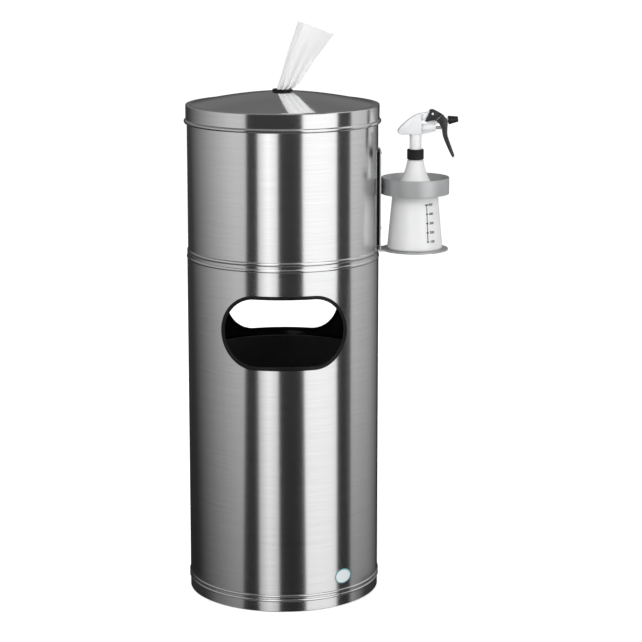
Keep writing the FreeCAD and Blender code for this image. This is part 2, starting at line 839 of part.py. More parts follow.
def make_holder_fasteners():
    """Screws through strip, pad and wall, and the nuts behind the wall."""
    nut_face = container_inner - S.plug_gap
    tip = nut_face - S.nut_height
    screws = []
    nuts = []
    for tag, level in (("low", lower_screw_level), ("high", upper_screw_level)):
        shank = rod(f"screw_shank_{tag}", S.screw_radius, plate_outer - tip, (tip, ZERO, level), "X")
        head_outline = [Corner(0, 0), Corner(S.screw_head, 0),
                        Corner(0, S.screw_head_height, bead_arc(S.screw_head, S.screw_head_height))]
        head = turned(f"screw_head_{tag}", head_outline, (plate_outer, ZERO, level), AXIS_TURNS["X"])
        screws.append(fused(f"screw_{tag}", [shank, head]))
        hexagon = doc.addObject("Part::Prism", f"nut_hexagon_{tag}")
        hexagon.Polygon = 6
        bind(hexagon, "Circumradius", S.nut_radius)
        bind(hexagon, "Height", S.nut_height)
        place(hexagon, (tip, ZERO, level), AXIS_TURNS["X"])
        bore = rod(f"nut_bore_{tag}", S.screw_radius + S.shank_gap, S.nut_height + S.overrun * 2,
                   (tip - S.overrun, ZERO, level), "X")
        nuts.append(cut(f"nut_{tag}", hexagon, bore))
    node(group("holder_screws", screws), "holder_screws")
    node(group("holder_nuts", nuts), "holder_nuts")


# Bottle and sprayer, with heights above the base of the bottle

shoulder_height = S.waist_height + S.shoulder_rise
throat_height = shoulder_height + S.throat_rise
neck_top = throat_height + S.neck_height
stem_top = neck_top + S.stem_rise
pump_level = stem_top + S.pump_rise
spray_level = pump_level + S.spray_rise
clip_level = pump_level + S.clip_rise
pivot_level = pump_level + S.pivot_rise
trigger_front = S.pivot_reach + S.trigger_reach * TRIGGER_FRONT_SHARE
nozzle_start = trigger_front - S.spray_start + S.nozzle_clear
barrel_length = nozzle_start + S.nozzle_overlap
stem_radius = S.neck_radius - S.stem_step
collar_radius = S.neck_radius + S.thread_gap + S.collar_wall
pump_radius = S.pump_bore + S.pump_wall
barrel_radius = S.barrel_bore + S.barrel_wall
trigger_half = pump_radius + S.trigger_gap + S.cheek
lug_half = trigger_half - S.cheek - S.lug_gap
flange_bottom = neck_top + S.gasket_thickness
flange_top = flange_bottom + S.flange_thickness
lip_bottom = flange_top + S.plug_gap
socket_top = flange_bottom + S.tube_socket
seat_top = socket_top + S.ball_seat_depth


def make_bottle():
    """Tapered bottle with rounded heel, swept shoulder and neck."""
    heel = S.bottle_heel
    wall = S.bottle_wall
    neck_inner = S.neck_radius - S.neck_wall
    waist_radius = S.bottle_radius - S.waist_draw
    corners = [
        Corner(0, 0), Corner(S.bottle_radius - heel, 0), Corner(S.bottle_radius, heel, heel),
        Corner(waist_radius, S.waist_height),
        Corner(S.shoulder_radius, shoulder_height, S.shoulder_round),
        Corner(S.throat_radius, throat_height, S.throat_sweep, False),
        Corner(S.neck_radius, throat_height), Corner(S.neck_radius, neck_top),
        Corner(neck_inner, neck_top), Corner(neck_inner, throat_height),
        Corner(S.shoulder_radius - wall, shoulder_height, S.throat_sweep),
        Corner(waist_radius - wall, S.waist_height, S.shoulder_round, False),
        Corner(S.bottle_radius - wall, heel),
        Corner(S.bottle_radius - heel, wall, heel - wall, False), Corner(0, wall),
    ]
    node(turned("bottle", corners, (holder_axis, ZERO, bottle_base)), "bottle")


def make_collar():
    """Ribbed screw collar that holds the sprayer down on the neck."""
    bottom = lip_bottom + S.collar_lip - S.collar_height
    top = lip_bottom + S.collar_lip
    bore = S.neck_radius + S.thread_gap
    corners = [
        Corner(bore, bottom), Corner(collar_radius, bottom), Corner(collar_radius, top),
        Corner(stem_radius + S.plug_gap, top), Corner(stem_radius + S.plug_gap, lip_bottom),
        Corner(bore, lip_bottom),
    ]
    plain = turned("collar_plain", corners, (holder_axis, ZERO, bottle_base))
    grooves = []
    for index in range(int(S.collar_rib_count.value)):
        angle = 2 * math.pi * index / S.collar_rib_count.value
        place_x = holder_axis + collar_radius * math.cos(angle)
        place_y = collar_radius * math.sin(angle)
        grooves.append(rod(f"collar_groove_{index}", S.collar_rib, S.collar_height + S.overrun * 2,
                           (place_x, place_y, above_bottle(bottom - S.overrun))))
    node(cut("screw_collar", plain, group("collar_grooves", grooves)), "screw_collar")


def make_gasket_and_tube():
    """Seal on the neck and the tube that reaches down into the bottle."""
    node(tube("neck_gasket", S.neck_radius - S.neck_wall, S.neck_radius, S.gasket_thickness,
              (holder_axis, ZERO, above_bottle(neck_top))), "neck_gasket")
    low = S.bottle_wall + S.tube_clear
    node(tube("dip_tube", S.tube_radius - S.tube_wall, S.tube_radius, socket_top - S.shank_gap - low,
              (holder_axis, ZERO, above_bottle(low))), "dip_tube")


def spray_turn():
    return Rotation(Vector(0, 1, 0), 90 - S.spray_tilt.value)


def along_spray(distance):
    """Point on the tilted spray axis, at a distance from its start."""
    tilt = math.radians(S.spray_tilt.value)
    return (beside_bottle(S.spray_start + distance * math.cos(tilt)), ZERO,
            above_bottle(spray_level + distance * math.sin(tilt)))


def pump_place(reach):
    return (beside_bottle(reach), ZERO, above_bottle(pump_level))


def make_pump_body():
    """Stem, pump cylinder, barrel and the lug for the trigger, moulded in one."""
    stem_height = stem_top - flange_bottom
    over_stem = pump_level - stem_top
    stem_place = (holder_axis, ZERO, above_bottle(flange_bottom))
    clip_half = S.shroud_half - S.shroud_wall
    solids = [
        rod("stem", stem_radius, stem_height, stem_place),
        rod("stem_flange", S.neck_radius, S.flange_thickness, stem_place),
        rod("pump_cylinder", pump_radius, S.pump_front + S.pump_rear, pump_place(-S.pump_rear), "X"),
        rod("barrel", barrel_radius, barrel_length, along_spray(ZERO), spray_turn()),
        slab("pump_rib", from_shares(RIB_SHARES, S.pump_front, over_stem), S.rib_half * 2,
             (holder_axis, ZERO, above_bottle(stem_top))),
        slab("lug", from_shares(LUG_SHARES, S.trigger_reach, S.trigger_length), lug_half * 2,
             (beside_bottle(S.pivot_reach), ZERO, above_bottle(pivot_level))),
        rod("lug_boss", S.lug_round, lug_half * 2,
            (beside_bottle(S.pivot_reach), -lug_half, above_bottle(pivot_level)), "Y"),
        rod("shroud_clip", S.clip_radius, clip_half * 2,
            (holder_axis, -clip_half, above_bottle(clip_level)), "Y"),
    ]
    bore_start = S.pump_end_wall - S.pump_rear
    channel = S.pump_front * CHANNEL_SHARE
    hollows = [
        rod("tube_socket_bore", S.tube_radius + S.shank_gap, S.tube_socket + S.overrun,
            (holder_axis, ZERO, above_bottle(flange_bottom - S.overrun))),
        rod("seat_bore", S.ball_seat, pump_level - socket_top,
            (holder_axis, ZERO, above_bottle(socket_top))),
        rod("ball_bore", S.ball_radius + S.ball_room, S.ball_chamber,
            (holder_axis, ZERO, above_bottle(seat_top))),
        rod("pump_bore_cut", S.pump_bore, S.pump_front - bore_start + S.overrun,
            pump_place(bore_start), "X"),
        rod("barrel_bore_cut", S.barrel_bore, barrel_length, along_spray(S.barrel_end), spray_turn()),
        rod("channel_cut", S.channel_radius, spray_level - pump_level,
            (beside_bottle(channel), ZERO, above_bottle(pump_level))),
        rod("pin_bore", S.pin_radius + S.shank_gap, trigger_half * 2 + S.overrun,
            (beside_bottle(S.pivot_reach), -trigger_half, above_bottle(pivot_level)), "Y"),
    ]
    body = cut("pump_body", fused("pump_solid", solids), fused("pump_hollows", hollows))
    node(body, "pump_body")
    lift = (S.ball_radius.value ** 2 - S.ball_seat.value ** 2) ** 0.5 / S.ball_radius.value
    ball = doc.addObject("Part::Sphere", "inlet_ball")
    bind(ball, "Radius", S.ball_radius)
    place(ball, (holder_axis, ZERO, above_bottle(seat_top + S.ball_radius * lift + S.shank_gap)))
    node(ball, "inlet_ball")


def make_shroud():
    """Hollow rear cover of the sprayer, open below and to the front."""
    wall = S.shroud_wall
    base = (holder_axis, ZERO, above_bottle(stem_top))
    rear = from_shares(SHROUD_SHARES, S.shroud_reach, S.shroud_height)
    outer = rear + [Corner(S.shroud_front, S.shroud_height), Corner(S.shroud_front, 0)]
    low, tail, crest = rear
    inner = [
        Corner(low.x + wall, -S.overrun), Corner(low.x + wall, low.y),
        Corner(tail.x + wall, tail.y), Corner(crest.x + wall, crest.y - wall),
        Corner(S.shroud_front + S.overrun, S.shroud_height),
        Corner(S.shroud_front + S.overrun, -S.overrun),
    ]
    solid = slab("shroud_solid", outer, S.shroud_half * 2, base)
    hollow = slab("shroud_hollow", inner, (S.shroud_half - wall) * 2, base)
    node(cut("sprayer_shroud", solid, hollow), "sprayer_shroud")


def make_trigger():
    """Forked lever whose cheeks straddle the barrel, and its pivot pin."""
    base = (beside_bottle(S.pivot_reach), ZERO, above_bottle(pivot_level))
    wide = S.trigger_reach
    tall = S.trigger_length
    solid = slab("trigger_solid", from_shares(TRIGGER_SHARES, wide, tall), trigger_half * 2, base)
    hollow = slab("trigger_hollow", from_shares(TRIGGER_HOLLOW_SHARES, wide, tall),
                  (trigger_half - S.cheek) * 2, base)
    slit = slab("trigger_slit", from_shares(TRIGGER_SLIT_SHARES, wide, tall),
                (trigger_half + S.overrun) * 2, base)
    bore = rod("trigger_bore", S.pin_radius + S.shank_gap, (trigger_half + S.overrun) * 2,
               (base[0], -trigger_half - S.overrun, base[2]), "Y")
    lever = solid
    for name, tool in (("trigger_forked", hollow), ("trigger_slitted", slit), ("trigger", bore)):
        lever = cut(name, lever, tool)
    node(lever, "trigger")
    node(rod("trigger_pin", S.pin_radius, trigger_half * 2, (base[0], -trigger_half, base[2]), "Y"),
         "trigger_pin")


def web_reach():
    """Reach of the trigger web's inner face at the height of the pump, from the bottle's axis."""
    drop = pump_level - pivot_level
    (top_reach, top_level), (low_reach, low_level) = TRIGGER_HOLLOW_SHARES[3:5]
    part = (drop - S.trigger_length * top_level) / (S.trigger_length * (low_level - top_level))
    return S.pivot_reach + S.trigger_reach * top_reach + S.trigger_reach * (low_reach - top_reach) * part


def make_piston():
    """Piston with its rod, and the spring that pushes it back out."""
    head = S.pump_bore - S.piston_gap
    length = web_reach() - S.piston_play - S.piston_start
    tip = S.piston_rod - S.piston_tip
    corners = [
        Corner(0, 0), Corner(head, 0), Corner(head, S.piston_head), Corner(S.piston_rod, S.piston_head),
        Corner(S.piston_rod, length - S.piston_tip), Corner(tip, length, S.piston_tip), Corner(0, length),
    ]
    node(turned("piston", corners, pump_place(S.piston_start), AXIS_TURNS["X"]), "piston")
    make_spring()


def make_spring():
    """Coil between the closed end of the pump and the piston, its turns laid as quarter arcs."""
    wire = S.spring_wire.value
    radius = S.spring_radius.value
    start = S.pump_end_wall.value - S.pump_rear.value + wire
    end = S.piston_start.value - wire
    quarters = int(S.spring_turns.value * 4)

    def at(quarter):
        angle = quarter * math.pi / 2
        return Vector(start + (end - start) * quarter / quarters,
                      radius * math.cos(angle), radius * math.sin(angle))

    arcs = [Part.Arc(at(step), at(step + 0.5), at(step + 1)).toShape() for step in range(quarters)]
    path = Part.Wire(arcs)
    first = arcs[0]
    heading = first.tangentAt(first.FirstParameter)
    ring = Part.Wire(Part.makeCircle(wire, at(0), heading))
    coil = doc.addObject("Part::Feature", "piston_spring")
    coil.Shape = path.makePipeShell([ring], True, False)
    coil.Placement = Placement(Vector(holder_axis.value, 0, above_bottle(pump_level).value), Rotation())
    node(coil, "piston_spring")
    spacing = (end - start) / S.spring_turns.value - 2 * wire
    print(f"piston_spring: least gap between turns {spacing:.2f} mm")


def make_nozzle():
    """Tapered nozzle that turns on the barrel, and the swirl plug inside the barrel's end."""
    bore = barrel_radius + S.nozzle_gap
    depth = barrel_length - nozzle_start + S.plug_gap
    corners = [
        Corner(bore, 0), Corner(S.nozzle_radius, 0), Corner(S.nozzle_radius, S.nozzle_barrel),
        Corner(S.nozzle_tip, S.nozzle_length - S.nozzle_face), Corner(S.nozzle_tip, S.nozzle_length),
        Corner(S.nozzle_orifice, S.nozzle_length), Corner(S.nozzle_orifice, depth), Corner(bore, depth),
    ]
    node(turned("nozzle", corners, along_spray(nozzle_start), spray_turn()), "nozzle")
    node(rod("swirl_plug", S.barrel_bore - S.shank_gap, S.plug_length,
             along_spray(barrel_length - S.plug_length), spray_turn()), "swirl_plug")


def check_document():
    """Stop on any object that failed or has no sound shape."""
    doc.recompute()
    for item in doc.Objects:
        if {"Invalid", "Error"} & set(item.State):
            raise RuntimeError(f"{item.Label} failed: {item.State}")
    for item in NODES:
        if item.Shape.isNull() or not item.Shape.isValid():
            raise RuntimeError(f"{item.Label} has no sound shape")


def write_parts():
    os.makedirs("parts", exist_ok=True)
    for item in NODES:
        item.Shape.exportStep(f"parts/{item.Label}.step")
        print(f"{item.Label}: {len(item.Shape.Solids)} solids, {item.Shape.Volume:.0f} mm3")


make_base_pan()
make_foot_ring()
make_body_shell()
make_trim("front_trim", -1)
make_trim("rear_trim", 1)
make_badge()
make_liner()
make_container_shell()
make_container_floor()
make_roll()
make_lid()
make_grommet()
make_wipe()
make_holder_bracket()
make_holder_pad()
make_holder_ring()
make_holder_fasteners()
make_bottle()
make_collar()
make_gasket_and_tube()
make_pump_body()
make_shroud()
make_trigger()
make_piston()
make_nozzle()
check_document()
write_parts()
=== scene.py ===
"""Looks of the disinfection station: finishes, soft pieces, small mouldings, studio and camera.

Metres, +Z up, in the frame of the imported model: the origin is on the floor, on the axis of the bin,
the front opening faces -Y and the bottle holder is on the +X side.
"""

import math

import bmesh
import bpy
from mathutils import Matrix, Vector


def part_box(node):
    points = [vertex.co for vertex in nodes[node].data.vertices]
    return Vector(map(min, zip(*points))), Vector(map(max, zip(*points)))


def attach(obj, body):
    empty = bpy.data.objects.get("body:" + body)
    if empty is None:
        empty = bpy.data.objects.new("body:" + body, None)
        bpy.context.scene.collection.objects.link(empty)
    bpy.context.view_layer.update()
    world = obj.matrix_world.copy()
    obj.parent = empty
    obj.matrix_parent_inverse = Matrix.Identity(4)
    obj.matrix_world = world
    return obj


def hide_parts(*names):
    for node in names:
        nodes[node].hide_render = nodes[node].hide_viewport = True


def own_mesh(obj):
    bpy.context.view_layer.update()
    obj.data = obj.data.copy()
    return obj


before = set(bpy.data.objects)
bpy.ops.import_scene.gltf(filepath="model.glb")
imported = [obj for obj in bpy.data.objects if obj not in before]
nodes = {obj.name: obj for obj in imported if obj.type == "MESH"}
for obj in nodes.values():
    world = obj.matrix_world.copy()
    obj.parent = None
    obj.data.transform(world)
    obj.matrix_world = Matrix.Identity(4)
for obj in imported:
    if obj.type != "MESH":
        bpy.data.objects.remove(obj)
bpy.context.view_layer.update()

MM = 0.001

# bin
BODY_RADIUS = 175 * MM
SHEET = 1 * MM
OPENING_LEVEL = 514 * MM
OPENING_HALF_HEIGHT = 67 * MM
OPENING_END = 58 * MM
OPENING_STRAIGHT = 54 * MM
TRIM_WIDTH = 6.5 * MM
TRIM_LIP = 1.6 * MM
# bottle, along its own axis
BOTTLE_AXIS = 241.3 * MM
BOTTLE_BASE = 637 * MM
BOTTLE_RADIUS = 50.5 * MM
BOTTLE_HEEL = 4 * MM
WAIST_RADIUS = 42.5 * MM
WAIST_HEIGHT = 90 * MM
# sprayer
COLLAR_BORE = 12.9 * MM
COLLAR_HOLE = 11.05 * MM
COLLAR_LIP = 2.8 * MM
STEM_TOP = 846 * MM
PIVOT = Vector((271.3 * MM, 0, 884 * MM))
TRIGGER_REACH = 40 * MM
TRIGGER_LENGTH = 80 * MM
TRIGGER_HALF = 9.6 * MM
CHEEK = 2 * MM
PIN_BORE = 2.06 * MM


# Meshes

# degrees between the faces at an edge that is rounded off, at one that is shaded as sharp, and at one
# that is shaded as sharp on a carved piece
EDGE_ANGLE = 32
SHARP_ANGLE = 50
CARVED_SHARP_ANGLE = 40
# distance at which points of a CAD mesh fall together, and degrees between faces that lie in one
WELD = 0.002 * MM
FLAT_ANGLE = 0.4


def mesh_object(name, points, faces):
    """New smooth mesh in the scene."""
    mesh = bpy.data.meshes.new(name)
    mesh.from_pydata([tuple(point) for point in points], [], faces)
    mesh.shade_smooth()
    piece = bpy.data.objects.new(name, mesh)
    bpy.context.scene.collection.objects.link(piece)
    return piece


def lofted(name, rows, wrap_rows=False, wrap_columns=False):
    """Smooth skin through rows of points, closed round along or across the rows where asked."""
    wide = len(rows[0])
    faces = []
    for row in range(len(rows) if wrap_rows else len(rows) - 1):
        above = (row + 1) % len(rows)
        for column in range(wide if wrap_columns else wide - 1):
            beside = (column + 1) % wide
            faces.append((row * wide + column, row * wide + beside,
                          above * wide + beside, above * wide + column))
    return mesh_object(name, [point for row in rows for point in row], faces)


def spun(name, outline, axis=(0, 0), steps=160):
    """Skin of an outline of radius and height, turned about an upright axis."""
    rows = []
    for step in range(steps):
        angle = 2 * math.pi * step / steps
        across, along = math.cos(angle), math.sin(angle)
        rows.append([(axis[0] + radius * across, axis[1] + radius * along, height)
                     for radius, height in outline])
    return lofted(name, rows, wrap_rows=True)


def prism(name, outline, half):
    """Solid between two copies of a side outline of X and Z, at -half and +half along Y."""
    count = len(outline)
    points = [(x, side * half, z) for side in (-1, 1) for x, z in outline]
    faces = [tuple(range(count)), tuple(reversed(range(count, 2 * count)))]
    faces += [((index + 1) % count, index, count + index, count + (index + 1) % count)
              for index in range(count)]
    piece = mesh_object(name, points, faces)
    work = bmesh.new()
    work.from_mesh(piece.data)
    bmesh.ops.recalc_face_normals(work, faces=work.faces)
    work.to_mesh(piece.data)
    work.free()
    return piece


def rounded_path(corners, steps=5):
    """Closed smooth line through the corners (Catmull-Rom)."""
    line = []
    count = len(corners)
    for index in range(count):
        before, start, end, after = (Vector(corners[(index + shift) % count])
                                     for shift in (-1, 0, 1, 2))
        for step in range(steps):
            t = step / steps
            point = (start * 2 + (end - before) * t
                     + (before * 2 - start * 5 + end * 4 - after) * t ** 2
                     + (start * 3 - before - end * 3 + after) * t ** 3) * 0.5
            line.append((point.x, point.y))
    return line


def modified(piece, kind, **settings):
    """Add a modifier with its settings."""
    modifier = piece.modifiers.new(kind.lower(), kind)
    for name, value in settings.items():
        setattr(modifier, name, value)


def settled(piece):
    """Put what the modifiers make into the mesh itself."""
    graph = bpy.context.evaluated_depsgraph_get()
    made = bpy.data.meshes.new_from_object(piece.evaluated_get(graph))
    piece.modifiers.clear()
    piece.data = made


def carved(piece, tool):
    """Take the tool's solid out of the piece."""
    modified(piece, "BOOLEAN", operation="DIFFERENCE", solver="EXACT", object=tool)
    settled(piece)
    bpy.data.objects.remove(tool)


def shaded(piece, sharp):
    """Smooth shading that breaks at edges sharper than an angle in degrees."""
    piece.data.shade_smooth()
    piece.data.set_sharp_from_angle(angle=math.radians(sharp))


def bevelled(piece, width, segments, angle=EDGE_ANGLE):
    """Round off the edges at which faces turn by more than an angle in degrees."""
    modified(piece, "BEVEL", width=width, segments=segments, limit_method="ANGLE",
             angle_limit=math.radians(angle), harden_normals=True)
    settled(piece)
    shaded(piece, SHARP_ANGLE)
    return piece


def eased(node, width, segments=2):
    """Copy of a hard-edged CAD node with its edges rounded off, which stands for that node."""
    mesh = nodes[node].data.copy()
    piece = bpy.data.objects.new(f"{node}_eased", mesh)
    bpy.context.scene.collection.objects.link(piece)
    work = bmesh.new()
    work.from_mesh(mesh)
    bmesh.ops.remove_doubles(work, verts=work.verts, dist=WELD)
    bmesh.ops.dissolve_limit(work, angle_limit=math.radians(FLAT_ANGLE),
                             verts=work.verts, edges=work.edges)
    work.to_mesh(mesh)
    work.free()
    shaded(piece, EDGE_ANGLE)
    bevelled(piece, width, segments)
    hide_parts(node)
    return piece


# Finishes

class Finish:
    """A procedural material around one Principled shader."""

    def __init__(self, name, values):
        self.material = bpy.data.materials.new(name)
        self.material.use_nodes = True
        self.tree = self.material.node_tree
        self.shader = self.tree.nodes["Principled BSDF"]
        self.feed(self.shader, values)

    def feed(self, target, values):
        """Set or link inputs of a node, by name or by place."""
        for name, value in values.items():
            socket = target.inputs[name]
            if isinstance(value, bpy.types.NodeSocket):
                self.tree.links.new(value, socket)
            else:
                socket.default_value = value

    def node(self, kind, values=None, **settings):
        """New shader node with its settings and inputs."""
        made = self.tree.nodes.new(f"ShaderNode{kind}")
        for name, value in settings.items():
            setattr(made, name, value)
        self.feed(made, values or {})
        return made

    def place(self, stretch=(1, 1, 1)):
        """Own coordinates of the piece in metres, stretched per axis."""
        coordinates = self.node("TexCoord").outputs["Object"]
        return self.node("Mapping", {"Vector": coordinates, "Scale": stretch}).outputs["Vector"]

    def noise(self, stretch, detail=3.0):
        values = {"Vector": self.place(stretch), "Scale": 1.0, "Detail": detail}
        return self.node("TexNoise", values).outputs[0]

    def span(self, value, low, high, start=0.0, end=1.0):
        """Number that goes from low to high while another goes from start to end."""
        values = {"Value": value, "From Min": start, "From Max": end,
                  "To Min": low, "To Max": high}
        return self.node("MapRange", values).outputs["Result"]

    def blend(self, factor, first, second):
        """Colour between two others."""
        ramp = self.node("ValToRGB", {"Fac": factor})
        for element, colour in zip(ramp.color_ramp.elements, (first, second)):
            element.color = (*colour, 1)
        return ramp.outputs["Color"]

    def mixed(self, factor, first, second):
        """Colour that goes from a worked-out one to a plain one."""
        mix = self.node("Mix", {0: factor, 6: first, 7: (*second, 1)}, data_type="RGBA")
        return mix.outputs[2]

    def math(self, operation, first, second):
        return self.node("Math", {0: first, 1: second}, operation=operation).outputs[0]

    def facing_up(self, start=0.45, end=0.75):
        """One on faces that look up, zero on upright ones, by the height of their normal."""
        normal = self.node("NewGeometry").outputs["Normal"]
        up = self.node("SeparateXYZ", {"Vector": normal}).outputs["Z"]
        return self.span(up, 0.0, 1.0, start, end)

    def across(self):
        """Share of the way across a card of the studio, kept in its mesh."""
        return self.node("Attribute", attribute_name="across").outputs["Fac"]

    def distance_from_axis(self):
        flat = self.place((1, 1, 0))
        return self.node("VectorMath", {0: flat}, operation="LENGTH").outputs["Value"]

    def bump(self, height, strength, distance):
        values = {"Height": height, "Strength": strength, "Distance": distance}
        self.feed(self.shader, {"Normal": self.node("Bump", values).outputs["Normal"]})

    def wear(self, piece):
        piece.data.materials.clear()
        piece.data.materials.append(self.material)


def brushed_steel(name, painted_shade_radius=0.0, painted_bright_top=False):
    """Stainless sheet with hairlines round the tube.

    It is dark inside a radius, where one is given (painted shade inside the bin), and can be bright
    where it looks up (painted light on the top).
    """
    steel = Finish(name, {"Metallic": 1.0, "Anisotropic": 0.85, "Anisotropic Rotation": 0.25})
    around = steel.node("Tangent", direction_type="RADIAL", axis="Z").outputs["Tangent"]
    hairlines = steel.noise((14, 14, 1100), 5.0)
    streaks = steel.noise((3, 3, 260), 3.0)
    lines = steel.math("ADD", hairlines, steel.math("MULTIPLY", streaks, 0.3))
    colour = steel.blend(steel.span(lines, 0.0, 1.0, 0.4, 0.9),
                         (0.585, 0.585, 0.589), (0.66, 0.66, 0.663))
    rough = steel.span(lines, 0.19, 0.22, 0.4, 0.9)
    # painted light: where it looks up the colour is brighter, so the top mirrors more light; the lower
    # roughness there is a smoother polish
    if painted_bright_top:
        up = steel.facing_up()
        rough = steel.math("SUBTRACT", rough, steel.math("MULTIPLY", up, 0.12))
        colour = steel.mixed(up, colour, (0.9, 0.9, 0.905))
    # painted shade: inside this radius the steel takes a dark colour in place of the shade within the
    # bin
    if painted_shade_radius:
        inside = steel.math("LESS_THAN", steel.distance_from_axis(), painted_shade_radius)
        colour = steel.mixed(inside, colour, (0.10, 0.10, 0.10))
    steel.feed(steel.shader, {"Base Color": colour, "Roughness": rough, "Tangent": around})
    steel.bump(hairlines, 0.05, 0.05 * MM)
    return steel


def satin_steel():
    """Bent flat steel of the holder, evenly dulled."""
    steel = Finish("satin_steel", {"Metallic": 1.0})
    grain = steel.noise((900, 900, 900), 4.0)
    cloud = steel.noise((25, 25, 25), 3.0)
    steel.feed(steel.shader, {
        "Base Color": steel.blend(cloud, (0.58, 0.585, 0.59), (0.66, 0.665, 0.67)),
        "Roughness": steel.span(grain, 0.5, 0.6)})
    steel.bump(grain, 0.05, 0.05 * MM)
    return steel


def bright_metal(name, shade):
    """Small plated steel parts."""
    metal = Finish(name, {"Metallic": 1.0})
    stain = metal.noise((400, 400, 400), 4.0)
    metal.feed(metal.shader, {
        "Base Color": metal.blend(stain, (shade * 0.85,) * 3, (shade,) * 3),
        "Roughness": metal.span(stain, 0.2, 0.36)})
    return metal


def moulding(name, dark, light, rough, grain=1600, relief=0.06, extra=None):
    """Moulded plastic or rubber: fine grain, with slightly uneven shade and gloss."""
    plastic = Finish(name, extra or {})
    fine = plastic.noise((grain, grain, grain), 3.0)
    cloud = plastic.noise((40, 40, 40), 3.0)
    plastic.feed(plastic.shader, {
        "Base Color": plastic.blend(cloud, dark, light),
        "Roughness": plastic.span(cloud, rough[0], rough[1])})
    plastic.bump(fine, relief, 0.1 * MM)
    return plastic


def scattering(weight, depth):
    """Shader values for light that goes to a depth in metres, alike in all colours."""
    return {"Subsurface Weight": weight, "Subsurface Scale": depth,
            "Subsurface Radius": (1.0, 1.0, 1.0)}


def cloth():
    """Soft nonwoven wipe: lighter and darker fibre clouds and a fine embossed grid."""
    wipe = Finish("wipe_cloth", {"Sheen Weight": 0.15, "Roughness": 0.85, **scattering(0.35, 0.004)})
    fibres = wipe.noise((260, 260, 900), 5.0)
    cells = wipe.node("TexVoronoi", {"Vector": wipe.place((420, 420, 420)), "Scale": 1.0})
    wipe.feed(wipe.shader, {
        "Base Color": wipe.blend(fibres, (0.88, 0.885, 0.89), (0.95, 0.95, 0.95))})
    wipe.bump(wipe.math("ADD", fibres, cells.outputs[0]), 0.25, 0.15 * MM)
    return wipe


def wound_cloth():
    """Roll of wipes: the edges of its layers show as fine rings on its ends."""
    roll = Finish("wound_cloth", {"Roughness": 0.9, "Sheen Weight": 0.1})
    rings = roll.node("TexNoise", {"Vector": roll.distance_from_axis(), "Scale": 900.0,
                                   "Detail": 4.0})
    fibres = roll.noise((300, 300, 300), 4.0)
    layers = roll.math("ADD", rings.outputs[0], roll.math("MULTIPLY", fibres, 0.5))
    roll.feed(roll.shader, {
        "Base Color": roll.blend(layers, (0.66, 0.665, 0.67), (0.93, 0.93, 0.93))})
    roll.bump(layers, 0.4, 0.4 * MM)
    return roll


def badge_face():
    """Plain pale oval with a thin coloured rim, without any print."""
    badge = Finish("badge_face", {"Coat Weight": 0.3})
    cloud = badge.noise((60, 60, 60), 2.0)
    place = badge.node("TexCoord").outputs["Generated"]
    from_middle = badge.node("Mapping", {"Vector": place, "Location": (-0.5, 0, -0.5),
                                         "Scale": (1, 0, 1)}).outputs["Vector"]
    reach = badge.node("VectorMath", {0: from_middle}, operation="LENGTH").outputs["Value"]
    rim = badge.span(reach, 0.0, 1.0, 0.425, 0.455)
    badge.feed(badge.shader, {
        "Base Color": badge.blend(rim, (0.80, 0.86, 0.87), (0.10, 0.36, 0.40)),
        "Roughness": badge.span(cloud, 0.25, 0.4)})
    return badge


def printed_ink():
    """Black ink of the bottle's scale, a little uneven."""
    print_ink = Finish("printed_ink", {})
    cloud = print_ink.noise((700, 700, 700), 3.0)
    print_ink.feed(print_ink.shader, {
        "Base Color": print_ink.blend(cloud, (0.015, 0.015, 0.017), (0.05, 0.05, 0.055)),
        "Roughness": print_ink.span(cloud, 0.4, 0.6)})
    return print_ink


bin_steel = brushed_steel("bin_steel", painted_shade_radius=BODY_RADIUS - SHEET / 2)
tube_steel = brushed_steel("tube_steel")
lid_steel = brushed_steel("lid_steel", painted_bright_top=True)
holder_steel = satin_steel()
zinc = bright_metal("zinc", 0.75)
spring_wire = bright_metal("spring_wire", 0.6)
rubber = moulding("black_rubber", (0.004, 0.004, 0.004), (0.008, 0.008, 0.008), (0.3, 0.4),
                  extra={"Specular IOR Level": 0.16})
liner_black = moulding("liner_black", (0.05, 0.05, 0.05), (0.07, 0.07, 0.07), (0.55, 0.7),
                       900, 0.1)
black_plastic = moulding("black_plastic", (0.012, 0.012, 0.013), (0.03, 0.03, 0.032), (0.3, 0.42))
deep_black = moulding("deep_black_plastic", (0.005, 0.005, 0.005), (0.011, 0.011, 0.012),
                      (0.3, 0.42), extra={"Specular IOR Level": 0.28})
white_plastic = moulding("white_plastic", (0.80, 0.81, 0.82), (0.88, 0.885, 0.89), (0.25, 0.36),
                         1200, 0.03, scattering(0.2, 0.003))
grey_plastic = moulding("grey_plastic", (0.36, 0.37, 0.38), (0.46, 0.47, 0.48), (0.35, 0.45))
bottle_plastic = moulding("bottle_plastic", (0.90, 0.903, 0.905), (0.93, 0.932, 0.935),
                          (0.25, 0.34), 700, 0.02, scattering(0.4, 0.004))
clear_plastic = moulding("clear_plastic", (0.80, 0.82, 0.83), (0.88, 0.89, 0.9), (0.2, 0.3),
                         900, 0.03, {"Transmission Weight": 0.5})
wipe_cloth = cloth()
roll_cloth = wound_cloth()
badge_plain = badge_face()
ink = printed_ink()

